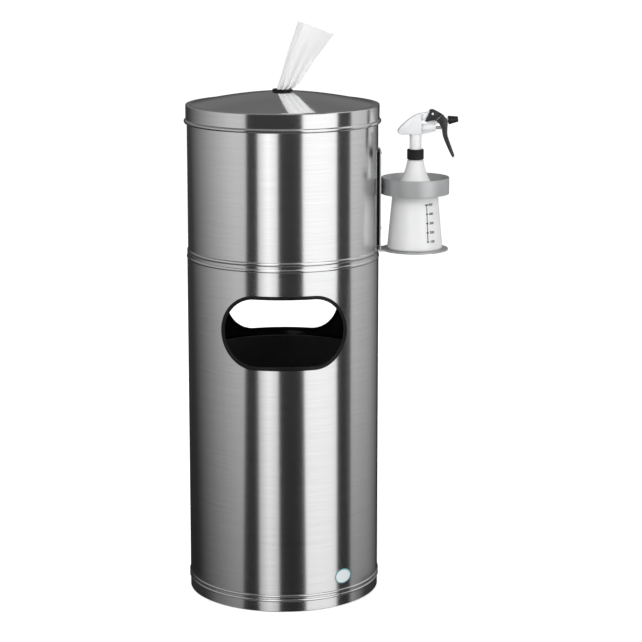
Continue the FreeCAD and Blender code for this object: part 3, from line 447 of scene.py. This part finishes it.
NODE_FINISHES = {
    "body_shell": bin_steel, "base_pan": tube_steel, "container_shell": tube_steel,
    "container_floor": tube_steel, "lid": lid_steel, "foot_ring": rubber, "front_trim": rubber,
    "rear_trim": rubber, "blank_badge": badge_plain, "inner_liner": liner_black,
    "wipes_roll": roll_cloth, "grommet": rubber, "wipe_sheet": wipe_cloth,
    "wipe_strand": wipe_cloth, "holder_bracket": holder_steel, "holder_pad": rubber,
    "holder_ring": holder_steel, "ring_pads": rubber, "ring_rivets": zinc,
    "holder_screws": zinc, "holder_nuts": zinc,
    "bottle": bottle_plastic, "screw_collar": deep_black, "neck_gasket": grey_plastic,
    "dip_tube": clear_plastic, "pump_body": white_plastic, "inlet_ball": zinc,
    "sprayer_shroud": white_plastic, "trigger": black_plastic, "trigger_pin": white_plastic,
    "piston": grey_plastic, "piston_spring": spring_wire, "nozzle": deep_black,
    "swirl_plug": white_plastic,
}
for node_name, finish in NODE_FINISHES.items():
    finish.wear(nodes[node_name])


# Edge trims of the openings

# power that turns the round section of the trim into a fuller one
TRIM_FULLNESS = 0.55


def on_wall(x, z, radius, towards):
    """Point at a radius of the bin, on its front (-1) or its rear (1)."""
    return (x, towards * math.sqrt(radius ** 2 - x ** 2), z)


def round_end(inset, radius, towards, side, steps):
    """Points round the right (1) or left (-1) end of the opening, drawn in by an inset."""
    line = []
    for step in range(steps):
        turn = math.pi * (step / steps - 0.5 * side)
        x = (OPENING_END - inset) * math.cos(turn) + side * OPENING_STRAIGHT
        z = OPENING_LEVEL + (OPENING_HALF_HEIGHT - inset) * math.sin(turn)
        line.append(on_wall(x, z, radius, towards))
    return line


def straight_run(inset, radius, towards, side, steps):
    """Points along the straight top (1) or bottom (-1) of the opening."""
    z = OPENING_LEVEL + side * (OPENING_HALF_HEIGHT - inset)
    return [on_wall(OPENING_STRAIGHT * side * (1 - 2 * step / steps), z, radius, towards)
            for step in range(steps)]


def fuller(value):
    return math.copysign(abs(value) ** TRIM_FULLNESS, value)


def edge_trim(name, towards, around=28, bend=44, straight=28):
    """Rubber channel with full round edges, swept round one opening."""
    strips = []
    middle = BODY_RADIUS - SHEET / 2
    for step in range(around):
        angle = 2 * math.pi * step / around
        inset = TRIM_WIDTH / 2 * (1 + fuller(math.cos(angle)))
        radius = middle + (TRIM_LIP + SHEET / 2) * fuller(math.sin(angle))
        strips.append([point for side in (1, -1)
                       for point in (*round_end(inset, radius, towards, side, bend),
                                     *straight_run(inset, radius, towards, side, straight))])
    trim = lofted(f"{name}_profile", strips, wrap_rows=True, wrap_columns=True)
    rubber.wear(trim)
    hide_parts(name)
    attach(trim, "bin")


edge_trim("front_trim", -1)
edge_trim("rear_trim", 1)


# Wipe, strand and roll

def between(stops, t):
    """X and Z at t on a line through stops of t, X and Z."""
    for (t0, *start), (t1, *end) in zip(stops, stops[1:]):
        if t <= t1:
            part = (t - t0) / (t1 - t0)
            return [first + (last - first) * part for first, last in zip(start, end)]
    return list(stops[-1][1:])


# left and right edge of the standing wipe: share of its height, then X and Z in millimetres
WIPE_LEFT = [(0, -10.5, 924), (0.06, -8.5, 934), (0.5, 9.0, 994), (1, 28.6, 1052)]
WIPE_RIGHT = [(0, 10.5, 924), (0.04, 22.5, 932), (0.10, 31.5, 941), (0.5, 59.0, 983),
              (1, 92.5, 1026)]
WIPE_COLUMNS = 72
WIPE_ROWS = 80
# power that brings the rows closer together towards the ring
WIPE_CROWDING = 1.25
# strip folded over to the front along the left edge, as a share of the cloth and of the shown width, the
# part of it left at the ring, its depth and the power that rounds its fold
LAP_SHARE = 0.12
LAP_WIDTH = 0.14
LAP_AT_RING = 0.35
LAP_DEPTH = 1.3 * MM
LAP_FULLNESS = 6
# folds across the cloth, where in a fold the left edge is in radians, and the share of the height in
# which the ring's gathers fade
PLEATS = 7
PLEAT_START = 0.6
GATHER_REACH = 0.13
# depth of the folds in millimetres: pleats at the ring and higher up, the hollow of the open cloth and
# its turn to the side, creases across it and the curl of its top, with the share where that starts
PLEAT_AT_RING = 4.6
PLEAT_ABOVE = 0.9
HOLLOW = 10.0
SIDE_TURN = 9.0
CREASE = 1.1
CURL = 6.0
CURL_START = 0.7
# shares of the width about which the cloth turns and curls, and waves of the creases in radians
TURN_MIDDLE = 0.4
CURL_MIDDLE = 0.3
CREASE_ACROSS = 9
CREASE_UP = 5
# rise of the middle of the top edge in millimetres
BOW = 0.96
CLOTH_THICKNESS = 0.4 * MM


def wipe_point(s, t):
    """Point of the wipe: s across the cloth from its folded edge, t up from the ring."""
    left = between(WIPE_LEFT, t)
    right = between(WIPE_RIGHT, t)
    if s < LAP_SHARE:
        across = LAP_WIDTH * (1 - s / LAP_SHARE) * min(1, LAP_AT_RING + t)
        depth = -LAP_DEPTH * math.sqrt(max(0, 1 - (s / LAP_SHARE) ** LAP_FULLNESS))
    else:
        across = (s - LAP_SHARE) / (1 - LAP_SHARE)
        depth = 0.0
    gather = PLEAT_AT_RING * math.exp(-t / GATHER_REACH) + PLEAT_ABOVE * (1 - t)
    pleats = gather * math.cos(across * math.pi * PLEATS + PLEAT_START)
    arch = math.sin(math.pi * across) * t
    swell = SIDE_TURN * (across - TURN_MIDDLE) * t - HOLLOW * arch
    crease = CREASE * math.sin(CREASE_ACROSS * across + CREASE_UP * t) * math.sin(math.pi * t) ** 2
    curl = CURL * (max(0, t - CURL_START) / (1 - CURL_START)) ** 2 * (across - CURL_MIDDLE)
    x = left[0] + (right[0] - left[0]) * across
    z = left[1] + (right[1] - left[1]) * across + BOW * arch
    return (x * MM, (pleats + swell + crease + curl) * MM + depth, z * MM)


def measured(rows):
    """Middle width and length of a cloth, along its rows and columns."""
    def length(points):
        return sum((Vector(last) - Vector(first)).length
                   for first, last in zip(points, points[1:]))

    widths = [length(row) for row in rows]
    lengths = [length([row[column] for row in rows]) for column in range(len(rows[0]))]
    return sum(widths) / len(widths), sum(lengths) / len(lengths)


def dress_cloth(piece, rows, node):
    """Make a skin into a sheet of cloth that moves with the lid."""
    modified(piece, "SOLIDIFY", thickness=CLOTH_THICKNESS, offset=0)
    settled(piece)
    wipe_cloth.wear(piece)
    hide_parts(node)
    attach(piece, "lid")
    measured(rows)


wipe_rows = [[wipe_point(column / WIPE_COLUMNS, (row / WIPE_ROWS) ** WIPE_CROWDING)
              for column in range(WIPE_COLUMNS + 1)] for row in range(WIPE_ROWS + 1)]
wipe = lofted("standing_wipe", wipe_rows)
dress_cloth(wipe, wipe_rows, "wipe_sheet")


STRAND_LOW = 815.5 * MM
STRAND_LENGTH = 108.5 * MM
STRAND_COLUMNS = 110
STRAND_ROWS = 40
STRAND_TURNS = 2.3
# radius in millimetres at the inner edge, its growth to the outer one and the depth of the pleats
STRAND_CORE = 1.6
STRAND_GROWTH = 5.6
STRAND_PLEAT = 0.55
STRAND_PLEATS = 7
# lean of the pleats and twist in radians for each metre, and the height where there is no twist
STRAND_LEAN = 30
STRAND_TWIST = 14
TWIST_START = 815 * MM


def strand_point(share, height):
    """Point of the strand, a cloth rolled loosely on itself with small pleats."""
    turn = share * 2 * math.pi
    pleat = STRAND_PLEAT * math.sin(STRAND_PLEATS * turn + STRAND_LEAN * height)
    radius = STRAND_CORE + STRAND_GROWTH * share + pleat
    twist = turn * STRAND_TURNS + STRAND_TWIST * (height - TWIST_START)
    return (radius * MM * math.cos(twist), radius * MM * math.sin(twist), height)


strand_rows = [[strand_point(column / STRAND_COLUMNS, STRAND_LOW + STRAND_LENGTH * row / STRAND_ROWS)
                for column in range(STRAND_COLUMNS + 1)] for row in range(STRAND_ROWS + 1)]
strand = lofted("feed_strand", strand_rows)
dress_cloth(strand, strand_rows, "wipe_strand")


ROLL_CORE = 22 * MM
# level of the layers below the top of the solid, and drop and share of the width of a soft edge
ROLL_SINK = 1.6 * MM
ROLL_EDGE = 2.5 * MM
ROLL_EDGE_SHARE = 1 / 14
# two waves that make the layers uneven: height, turn across the roll and turn at its edge, in radians
ROLL_WAVES = ((0.9 * MM, 47, 0), (0.6 * MM, 113, 1))


def wound_roll(steps=60):
    """Roll with soft edges and layers that stand a little uneven on its upper end."""
    low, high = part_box("wipes_roll")
    outer = high.x
    outline = []
    for step in range(steps + 1):
        share = step / steps
        uneven = sum(height * math.sin(turn * share + start) for height, turn, start in ROLL_WAVES)
        edge = ROLL_EDGE * (1 - min(1, min(share, 1 - share) / ROLL_EDGE_SHARE)) ** 2
        outline.append((outer + (ROLL_CORE - outer) * share, high.z - ROLL_SINK + uneven - edge))
    below = [(radius, low.z) for radius, _ in reversed(outline[::10])]
    roll = spun("wound_roll", outline + below + outline[:1])
    roll_cloth.wear(roll)
    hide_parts("wipes_roll")
    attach(roll, "container")


wound_roll()


# Holder

RING_SHEET = 2 * MM
RING_CORNER = 0.7 * MM
BRACKET_CORNER = 0.9 * MM


def rounded_corner(radius, height, corner, start, steps):
    """Quarter of a circle round a point of radius and height, from a start in degrees."""
    angles = [math.radians(start + 90 * step / steps) for step in range(steps + 1)]
    return [(radius + corner * math.cos(angle), height + corner * math.sin(angle))
            for angle in angles]


def make_band(steps=5):
    """Flat steel ring round the bottle, with its four edges rolled."""
    low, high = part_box("holder_ring")
    outside = (high.x - low.x) / 2 - RING_CORNER
    inside = (high.x - low.x) / 2 - RING_SHEET + RING_CORNER
    top, bottom = high.z - RING_CORNER, low.z + RING_CORNER
    outline = []
    for radius, height, start in ((outside, top, 0), (inside, top, 90),
                                  (inside, bottom, 180), (outside, bottom, 270)):
        outline += rounded_corner(radius, height, RING_CORNER, start, steps)
    return spun("holder_band", outline + outline[:1], (BOTTLE_AXIS, 0), 220)


band = make_band()
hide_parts("holder_ring")
for piece in (band, eased("holder_bracket", BRACKET_CORNER)):
    holder_steel.wear(piece)
    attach(piece, "container")


# Bottle scale

# place of the scale: angle from the front towards +X, height of the lowest mark and step between marks
SCALE_ANGLE = math.radians(25)
SCALE_LOW = 18 * MM
SCALE_STEP = 16.7 * MM
SCALE_MARKS = 5
# half widths of its line and marks, half height of a mark, and size, place and boldness of the figures
LINE_HALF = 0.85 * MM
MARK_HALF = 2.4 * MM
TOP_MARK_HALF = 4.2 * MM
MARK_HALF_HEIGHT = 1.1 * MM
FIGURE_SIZE = 6 * MM
FIGURE_SHIFT = 4.8 * MM
FIGURE_BOLDNESS = 0.035
# height of the print over the wall
PRINT_LIFT = 0.12 * MM


def on_bottle(angle, height):
    """Point on the tapered wall, at an angle from the front towards +X."""
    part = (height - BOTTLE_HEEL) / (WAIST_HEIGHT - BOTTLE_HEEL)
    radius = BOTTLE_RADIUS + (WAIST_RADIUS - BOTTLE_RADIUS) * part + PRINT_LIFT
    return (BOTTLE_AXIS + radius * math.sin(angle), -radius * math.cos(angle), BOTTLE_BASE + height)


def printed_bar(name, reach, low, high, steps=6, levels=2):
    """Thin printed patch round the scale's line, to a reach each side and between two heights."""
    half = reach / BOTTLE_RADIUS
    start, end = SCALE_ANGLE - half, SCALE_ANGLE + half
    rows = [[on_bottle(start + (end - start) * step / steps, low + (high - low) * level / levels)
             for step in range(steps + 1)] for level in range(levels + 1)]
    return lofted(name, rows)


def printed_number(name, text, angle, height):
    """Figures laid on the wall of the bottle."""
    curve = bpy.data.curves.new(name, "FONT")
    curve.body = text
    curve.size = FIGURE_SIZE
    curve.offset = FIGURE_SIZE * FIGURE_BOLDNESS
    curve.align_y = "CENTER"
    letters = bpy.data.objects.new(name, curve)
    bpy.context.scene.collection.objects.link(letters)
    graph = bpy.context.evaluated_depsgraph_get()
    mesh = bpy.data.meshes.new_from_object(letters.evaluated_get(graph))
    bpy.data.objects.remove(letters)
    for vertex in mesh.vertices:
        vertex.co = on_bottle(angle + vertex.co.x / WAIST_RADIUS, height + vertex.co.y)
    piece = bpy.data.objects.new(name, mesh)
    bpy.context.scene.collection.objects.link(piece)
    return piece


def bottle_scale():
    """Plain volume scale: an upright line with five marks and their figures."""
    last = SCALE_MARKS - 1
    pieces = [printed_bar("scale_line", LINE_HALF, SCALE_LOW, SCALE_LOW + last * SCALE_STEP)]
    for index in range(SCALE_MARKS):
        height = SCALE_LOW + SCALE_STEP * index
        pieces.append(printed_bar(f"scale_mark_{index}", TOP_MARK_HALF if index == last else MARK_HALF,
                                  height - MARK_HALF_HEIGHT, height + MARK_HALF_HEIGHT))
        pieces.append(printed_number(f"scale_figure_{index}", str(100 * (index + 1)),
                                     SCALE_ANGLE + FIGURE_SHIFT / BOTTLE_RADIUS, height))
    for piece in pieces:
        ink.wear(piece)
        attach(piece, "bottle")


bottle_scale()


# Sprayer

# side outline of the trigger, as shares of its reach and its length from the pivot
TRIGGER_SHARES = [
    (-0.12, 0.06), (0.0, 0.085), (0.10, 0.075), (0.458, -0.025), (0.59, -0.088), (0.685, -0.18),
    (0.675, -0.437), (0.755, -0.60), (0.99, -0.92), (0.975, -0.97), (0.908, -0.985), (0.665, -0.73),
    (0.51, -0.533), (0.43, -0.344), (0.17, -0.16), (-0.275, -0.178), (-0.33, -0.155),
]
TRIGGER_HOLLOW_SHARES = [
    (-0.6, 0.061), (0.95, 0.061), (0.95, -0.22), (0.61, -0.22), (0.605, -0.40), (0.68, -0.585),
    (0.885, -0.875), (0.80, -0.91), (-0.6, -0.91),
]
TRIGGER_SLIT_SHARES = [(0.182, -0.124), (0.214, -0.143), (0.401, -0.063), (0.37, -0.044)]
# side outline of the shroud in millimetres from the top of the stem
SHROUD_OUTLINE = [(-27, 0.3), (-31.5, 1.6), (-32.9, 4.6), (-31.6, 9.0), (-24, 17.6), (-14, 26.4),
                  (-3, 34.0), (10, 39), (10, 0)]
# its hollow: the outline drawn together about a middle, and open below and to the front
SHROUD_MIDDLE = (BOTTLE_AXIS - 6 * MM, STEM_TOP + 13 * MM)
SHROUD_DRAW = (0.93, 0.9)
SHROUD_FRONT = BOTTLE_AXIS + 14 * MM
SHROUD_BELOW = STEM_TOP - 3 * MM
SHROUD_CEILING = STEM_TOP + 37 * MM
SHROUD_HALF = 10.5 * MM
SHROUD_WALL = 1.4 * MM
SHROUD_CORNER = 3.2 * MM
TRIGGER_CORNER = 1.3 * MM


def from_pivot(shares):
    """Side outline from shares of the trigger's reach and length."""
    return [(PIVOT.x + across * TRIGGER_REACH, PIVOT.z + up * TRIGGER_LENGTH)
            for across, up in shares]


def make_trigger(steps=32):
    """Forked lever with a smooth outline and rounded edges."""
    outline = rounded_path(from_pivot(TRIGGER_SHARES))
    lever = bevelled(prism("trigger_lever", outline, TRIGGER_HALF), TRIGGER_CORNER,
                     segments=4, angle=60)
    turns = [2 * math.pi * step / steps for step in range(steps)]
    bore = [(PIVOT.x + PIN_BORE * math.cos(turn), PIVOT.z + PIN_BORE * math.sin(turn))
            for turn in turns]
    carved(lever, prism("trigger_hollow", from_pivot(TRIGGER_HOLLOW_SHARES), TRIGGER_HALF - CHEEK))
    carved(lever, prism("trigger_slit", from_pivot(TRIGGER_SLIT_SHARES), TRIGGER_HALF * 2))
    carved(lever, prism("trigger_bore", bore, TRIGGER_HALF * 2))
    shaded(lever, CARVED_SHARP_ANGLE)
    black_plastic.wear(lever)
    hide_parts("trigger")
    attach(lever, "trigger")


def make_shroud():
    """Rear cover with a crowned back, hollow and open below and to the front."""
    outline = [(BOTTLE_AXIS + x * MM, STEM_TOP + z * MM) for x, z in SHROUD_OUTLINE]
    cover = bevelled(prism("shroud_cover", outline, SHROUD_HALF), SHROUD_CORNER,
                     segments=5, angle=40)
    inner = [tuple(middle + (value - middle) * draw
                   for value, middle, draw in zip(corner, SHROUD_MIDDLE, SHROUD_DRAW))
             for corner in outline]
    inner[0] = (inner[0][0], SHROUD_BELOW)
    inner[-1] = (SHROUD_FRONT, SHROUD_BELOW)
    inner[-2] = (SHROUD_FRONT, SHROUD_CEILING)
    carved(cover, prism("shroud_hollow", inner, SHROUD_HALF - SHROUD_WALL))
    shaded(cover, CARVED_SHARP_ANGLE)
    white_plastic.wear(cover)
    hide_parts("sprayer_shroud")
    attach(cover, "sprayer")


def make_collar(ribs=32, per_rib=8, corner=1.8 * MM, depth=0.4 * MM, run_out=1 * MM, steps=6):
    """Screw collar with rounded ends and fine ribs that run out before them."""
    low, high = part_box("screw_collar")
    outer = (high.x - low.x) / 2
    lip = high.z - COLLAR_LIP
    bottom, top = low.z + corner, high.z - corner
    plain = [(COLLAR_HOLE, high.z), (COLLAR_HOLE, lip), (COLLAR_BORE, lip), (COLLAR_BORE, low.z)]
    plain += rounded_corner(outer - corner, bottom, corner, 270, steps)
    ribbed = [(outer, bottom + run_out), (outer, top - run_out)]
    end = rounded_corner(outer - corner, top, corner, 0, steps)
    outline = [(radius, height, cut) for points, cut in ((plain, 0), (ribbed, depth), (end, 0))
               for radius, height in points]
    rows = []
    for step in range(ribs * per_rib):
        angle = 2 * math.pi * step / (ribs * per_rib)
        groove = (0.5 + 0.5 * math.cos(ribs * angle)) ** 2
        rows.append([(BOTTLE_AXIS + (radius - cut * groove) * math.cos(angle),
                      (radius - cut * groove) * math.sin(angle), height)
                     for radius, height, cut in outline])
    collar = lofted("ribbed_collar", rows, wrap_rows=True, wrap_columns=True)
    shaded(collar, SHARP_ANGLE)
    deep_black.wear(collar)
    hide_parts("screw_collar")
    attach(collar, "collar")


def make_spring(turns=7, wire=0.45 * MM, per_turn=24, around=8):
    """Return spring of the piston, built as a coil of wire at one length."""
    low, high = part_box("piston_spring")
    radius = (high.z - low.z) / 2 - wire
    level = (high.z + low.z) / 2
    sides = [2 * math.pi * side / around for side in range(around)]
    rows = []
    for step in range(turns * per_turn + 1):
        angle = 2 * math.pi * step / per_turn
        along = low.x + wire + (high.x - low.x - 2 * wire) * step / (turns * per_turn)
        outward = Vector((0, math.cos(angle), math.sin(angle)))
        middle = Vector((along, 0, level)) + outward * radius
        rows.append([middle + wire * (outward * math.cos(side) + Vector((math.sin(side), 0, 0)))
                     for side in sides])
    spring = lofted("return_spring", rows, wrap_columns=True)
    spring_wire.wear(spring)
    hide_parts("piston_spring")
    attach(spring, "sprayer")
    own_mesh(spring)


make_trigger()
make_shroud()
make_collar()
make_spring()
for node_name, width, finish, slot, body in (
        ("pump_body", 0.4 * MM, white_plastic, "white_plastic", "sprayer"),
        ("nozzle", 0.6 * MM, deep_black, "black_plastic", "nozzle")):
    piece = eased(node_name, width)
    finish.wear(piece)
    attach(piece, body)


# Studio

WALL_RADIUS = 2.6
WALL_BOTTOM = -2.6
WALL_TOP = 4.2
# height at which the directions of the cards hold
CARD_LEVEL = 0.4
# cards round the bin, which only its metal mirrors: first and last direction in degrees from the front
# towards +X, their lean in degrees for each metre down, brightness at the first edge, in the middle
# and at the last edge, share of it left at the foot, height of the top and distance from the wall
CARDS = {
    "left_box": ((-29.6, -6.3), (0, 0), (0.95, 1.75, 1.25), 0.42, WALL_TOP, 0.1),
    "right_box": ((21.6, 64.8), (3.2, 0), (1.65, 1.66, 1.6), 0.62, WALL_TOP, 0.1),
    "dark_flag": ((-42.9, 85), (-6, 0), (0.05, 0.045, 0.06), 0.3, 1.5, 0.05),
    "bounce_board": ((85, 152), (0, 0), (0.98, 0.7, 0.15), 0.15, WALL_TOP, 0.05),
    "rear_box": ((168, 192), (0, 0), (0.9, 1.4, 0.9), 0.6, 0.6, 0.05),
}
# the card that hides nothing behind it
CLEAR_CARD = "left_box"
# heights between which a card brightens
CARD_FOOT = -1.4
CARD_FULL = 0.7
# light of the wall, each as levels at the two ends of a stretch and then those ends: from front to rear
# in wall radii, where a lean moves the ends back with each metre up, and then by height in metres
WALL_REARWARD = (0.9, 0.05, -0.6, 0.68)
WALL_LEAN = 0.2
WALL_UPWARD = (0.22, 1.0, -1.3, 0.6)
WALL_FADE = (1.0, 0.1, 1.1, 2.0)
WALL_HIGH = (0.0, 0.13, 0.9, 1.4)
# discs above and below: height, and brightness in the middle and at the wall
DISCS = {
    "ceiling": (WALL_TOP, (0.5, 0.12)),
    "studio_floor": (WALL_BOTTOM, (0.22, 0.2)),
}
DISC_RADII = (0.05, 0.9, 1.8, WALL_RADIUS)
# shaded floor beside the bin: directions of the bin's wall that mirror it
SHADES = {
    "left_floor_shade": (-46, -89),
    "right_floor_shade": (46, 89),
}
# its gap to the bin, height over the floor and reach, the share of its width over which it comes in, and
# its brightness on the bin's axis and at a distance from it, with that distance
SHADE_GAP = 2 * MM
SHADE_HEIGHT = 1 * MM
SHADE_REACH = 105 * MM
SHADE_EDGE = 0.3
SHADE_LEVELS = (0.02, 0.05)
SHADE_FAR = 400 * MM


def glow(name, build, clear=False, cover=None):
    """Material that only sends light, with a strength worked out by its nodes.

    A clear one hides nothing, and a cover says how far it hides what is behind it.
    """
    lamp = Finish(name, {})
    lamp.tree.nodes.remove(lamp.shader)
    light = lamp.node("Emission", {"Strength": build(lamp)}).outputs[0]
    if clear or cover:
        behind = lamp.node("BsdfTransparent").outputs[0]
        if clear:
            light = lamp.node("AddShader", {0: light, 1: behind}).outputs[0]
        else:
            light = lamp.node("MixShader", {0: cover(lamp), 1: behind, 2: light}).outputs[0]
    lamp.feed(lamp.tree.nodes["Material Output"], {"Surface": light})
    return lamp


def only_mirrored(card, lamp):
    """Light a card, and keep it out of the picture and out of the light on matt surfaces."""
    lamp.wear(card)
    for kind in ("camera", "diffuse", "transmission", "shadow", "volume_scatter"):
        setattr(card, f"visible_{kind}", False)


def mark_across(card, shares):
    """Keep in the mesh how far across the card each point is."""
    across = card.data.attributes.new("across", "FLOAT", "POINT")
    across.data.foreach_set("value", shares)


def curved_card(name, edges, leans, radius, top, lamp, steps=24, levels=20):
    """Upright card on a cylinder round the bin."""
    rows = []
    for level in range(levels + 1):
        height = WALL_BOTTOM + (top - WALL_BOTTOM) * level / levels
        drop = max(CARD_LEVEL - height, 0)
        start, end = (edge + lean * drop for edge, lean in zip(edges, leans))
        turns = [math.radians(start + (end - start) * step / steps) for step in range(steps + 1)]
        rows.append([(radius * math.sin(turn), -radius * math.cos(turn), height) for turn in turns])
    card = lofted(name, rows)
    mark_across(card, [step / steps for _ in rows for step in range(steps + 1)])
    only_mirrored(card, lamp)
    return card


def shade_from(card, piece):
    """Keep the light of one card off one piece."""
    unlit = bpy.data.collections.new(f"{piece.name}_without_{card.name}")
    unlit.objects.link(piece)
    unlit.collection_objects[0].light_linking.link_state = "EXCLUDE"
    card.light_linking.receiver_collection = unlit


def card_light(levels, foot):
    """Brightness of a card at its first edge, middle and last edge, and the share left at its foot."""
    def build(lamp):
        across = lamp.across()
        rise = lamp.span(across, levels[0], levels[1], 0.0, 0.5)
        fall = lamp.span(across, 0.0, levels[2] - levels[1], 0.5, 1.0)
        height = lamp.node("SeparateXYZ", {"Vector": lamp.place()}).outputs["Z"]
        upward = lamp.span(height, foot, 1.0, CARD_FOOT, CARD_FULL)
        return lamp.math("MULTIPLY", lamp.math("ADD", rise, fall), upward)
    return build


def wall_light(lamp):
    """Grey room: bright in front, darker behind the bin, towards the floor and high up."""
    place = lamp.node("SeparateXYZ", {"Vector": lamp.place((1 / WALL_RADIUS, 1 / WALL_RADIUS, 1))})
    height = place.outputs["Z"]
    depth = lamp.math("SUBTRACT", place.outputs["Y"], lamp.math("MULTIPLY", height, WALL_LEAN))
    behind = lamp.span(depth, *WALL_REARWARD)
    low = lamp.span(height, *WALL_UPWARD)
    fade = lamp.span(height, *WALL_FADE)
    high = lamp.span(height, *WALL_HIGH)
    return lamp.math("ADD", lamp.math("MULTIPLY", lamp.math("MULTIPLY", behind, low), fade), high)


def disc_light(levels):
    """Brightness of a ceiling or floor in the middle and at the wall."""
    def build(lamp):
        return lamp.span(lamp.distance_from_axis(), levels[0], levels[1], 0.0, WALL_RADIUS)
    return build


def disc(name, height, radii, steps):
    """Flat round card, with a small hole in its middle."""
    turns = [2 * math.pi * step / steps for step in range(steps)]
    rows = [[(radius * math.cos(turn), radius * math.sin(turn), height) for turn in turns]
            for radius in radii]
    return lofted(name, rows, wrap_columns=True)


def dim_light(lamp):
    """Brightness of the shaded floor, which grows a little away from the bin."""
    return lamp.span(lamp.distance_from_axis(), *SHADE_LEVELS, 0.0, SHADE_FAR)


def soft_edge(lamp):
    return lamp.span(lamp.across(), 0.0, 1.0, 0.0, SHADE_EDGE)


def floor_shade(name, first, last, steps=24, parts=4):
    """Shaded floor that the band at the foot mirrors, just over the floor and clear of the bin."""
    rows = []
    for step in range(steps + 1):
        turn = math.radians(first + (last - first) * step / steps)
        start = Vector((math.sin(turn), -math.cos(turn), 0)) * (BODY_RADIUS + SHADE_GAP)
        away = Vector((math.sin(2 * turn), -math.cos(2 * turn), 0)) * SHADE_REACH
        rows.append([start + away * (part / parts) + Vector((0, 0, SHADE_HEIGHT))
                     for part in range(parts + 1)])
    shade = lofted(name, rows)
    mark_across(shade, [step / steps for step, row in enumerate(rows) for _ in row])
    only_mirrored(shade, glow(f"{name}_light", dim_light, cover=soft_edge))


curved_card("studio_wall", (-180, 180), (0, 0), WALL_RADIUS, WALL_TOP, glow("wall_light", wall_light))
for card_name, (edges, leans, levels, foot, top, inset) in CARDS.items():
    is_clear = card_name == CLEAR_CARD
    card_lamp = glow(f"{card_name}_light", card_light(levels, foot), is_clear)
    made_card = curved_card(card_name, edges, leans, WALL_RADIUS - inset, top, card_lamp)
    if is_clear:
        shade_from(made_card, nodes["lid"])
for card_name, (height, levels) in DISCS.items():
    only_mirrored(disc(card_name, height, DISC_RADII, steps=64),
                  glow(f"{card_name}_light", disc_light(levels)))
for shade_name, (first, last) in SHADES.items():
    floor_shade(shade_name, first, last)


def white_for_the_eye(tree):
    """One for rays that come straight from the camera, off metal or through glass, else zero."""
    path = tree.nodes.new("ShaderNodeLightPath")
    total = path.outputs["Is Camera Ray"]
    for ray in ("Is Glossy Ray", "Is Transmission Ray"):
        either = tree.nodes.new("ShaderNodeMath")
        either.operation = "MAXIMUM"
        tree.links.new(total, either.inputs[0])
        tree.links.new(path.outputs[ray], either.inputs[1])
        total = either.outputs[0]
    return total


# light of the room on the object, and glow of the floor for the eye
ROOM_LIGHT = 0.62
FLOOR_GLOW = 0.56
FLOOR_RADII = (0.02, 0.4, 2.0, 40.0)
LAMP_SIZE = 1.6
# lamps: place, aim and power in watts
LAMPS = {
    "key_lamp": ((-1.7, -2.3, 2.7), (0.05, 0, 0.7), 48),
    "fill_lamp": ((2.3, -1.9, 1.9), (0.1, 0, 0.7), 22),
    "back_lamp": ((0.9, 2.8, 2.4), (0.05, 0, 0.7), 20),
}


def make_floor():
    """Pale floor that keeps the shadow and runs into the white background."""
    floor = disc("floor", 0, FLOOR_RADII, steps=96)
    paint = Finish("floor_paint", {"Base Color": (0.82, 0.82, 0.82, 1), "Roughness": 0.9,
                                   "Specular IOR Level": 0.0, "Emission Color": (1, 1, 1, 1)})
    seen = white_for_the_eye(paint.tree)
    paint.feed(paint.shader, {"Emission Strength": paint.math("MULTIPLY", seen, FLOOR_GLOW)})
    paint.wear(floor)
    floor.visible_glossy = False


def make_world():
    """Room that lights the object evenly and is white for the eye."""
    world = bpy.data.worlds.new("studio")
    bpy.context.scene.world = world
    world.use_nodes = True
    tree = world.node_tree
    seen = white_for_the_eye(tree)
    level = tree.nodes.new("ShaderNodeMapRange")
    tree.links.new(seen, level.inputs["Value"])
    level.inputs["To Min"].default_value = ROOM_LIGHT
    level.inputs["To Max"].default_value = 1.0
    sky = tree.nodes["Background"]
    sky.inputs["Color"].default_value = (1, 1, 1, 1)
    tree.links.new(level.outputs["Result"], sky.inputs["Strength"])


def soft_lamp(name, place, aim, power):
    """Square lamp that metal doesn't mirror."""
    lamp = bpy.data.lights.new(name, "AREA")
    lamp.shape = "SQUARE"
    lamp.size = LAMP_SIZE
    lamp.energy = power
    holder = bpy.data.objects.new(name, lamp)
    holder.location = place
    holder.rotation_euler = (Vector(aim) - Vector(place)).to_track_quat("-Z", "Y").to_euler()
    holder.visible_glossy = False
    bpy.context.scene.collection.objects.link(holder)


make_floor()
make_world()
for lamp_name, (place, aim, power) in LAMPS.items():
    soft_lamp(lamp_name, place, aim, power)


# Camera: in front of the bin and higher than its lid, looking down a little

CAMERA_PLACE = (-0.045, -3.9, 1.316)
# degrees that it looks down, and that it is turned to the right
CAMERA_DOWN = 10.95
CAMERA_RIGHT = 1.683

camera = bpy.data.cameras.new("camera")
camera.lens = 121.3
camera.sensor_width = 36
camera.shift_y = -0.05
camera.clip_end = 100
viewer = bpy.data.objects.new("camera", camera)
viewer.location = CAMERA_PLACE
viewer.rotation_euler = (math.radians(90 - CAMERA_DOWN), 0, math.radians(-CAMERA_RIGHT))
bpy.context.scene.collection.objects.link(viewer)
bpy.context.scene.camera = viewer
bpy.context.scene.view_settings.view_transform = "Standard"
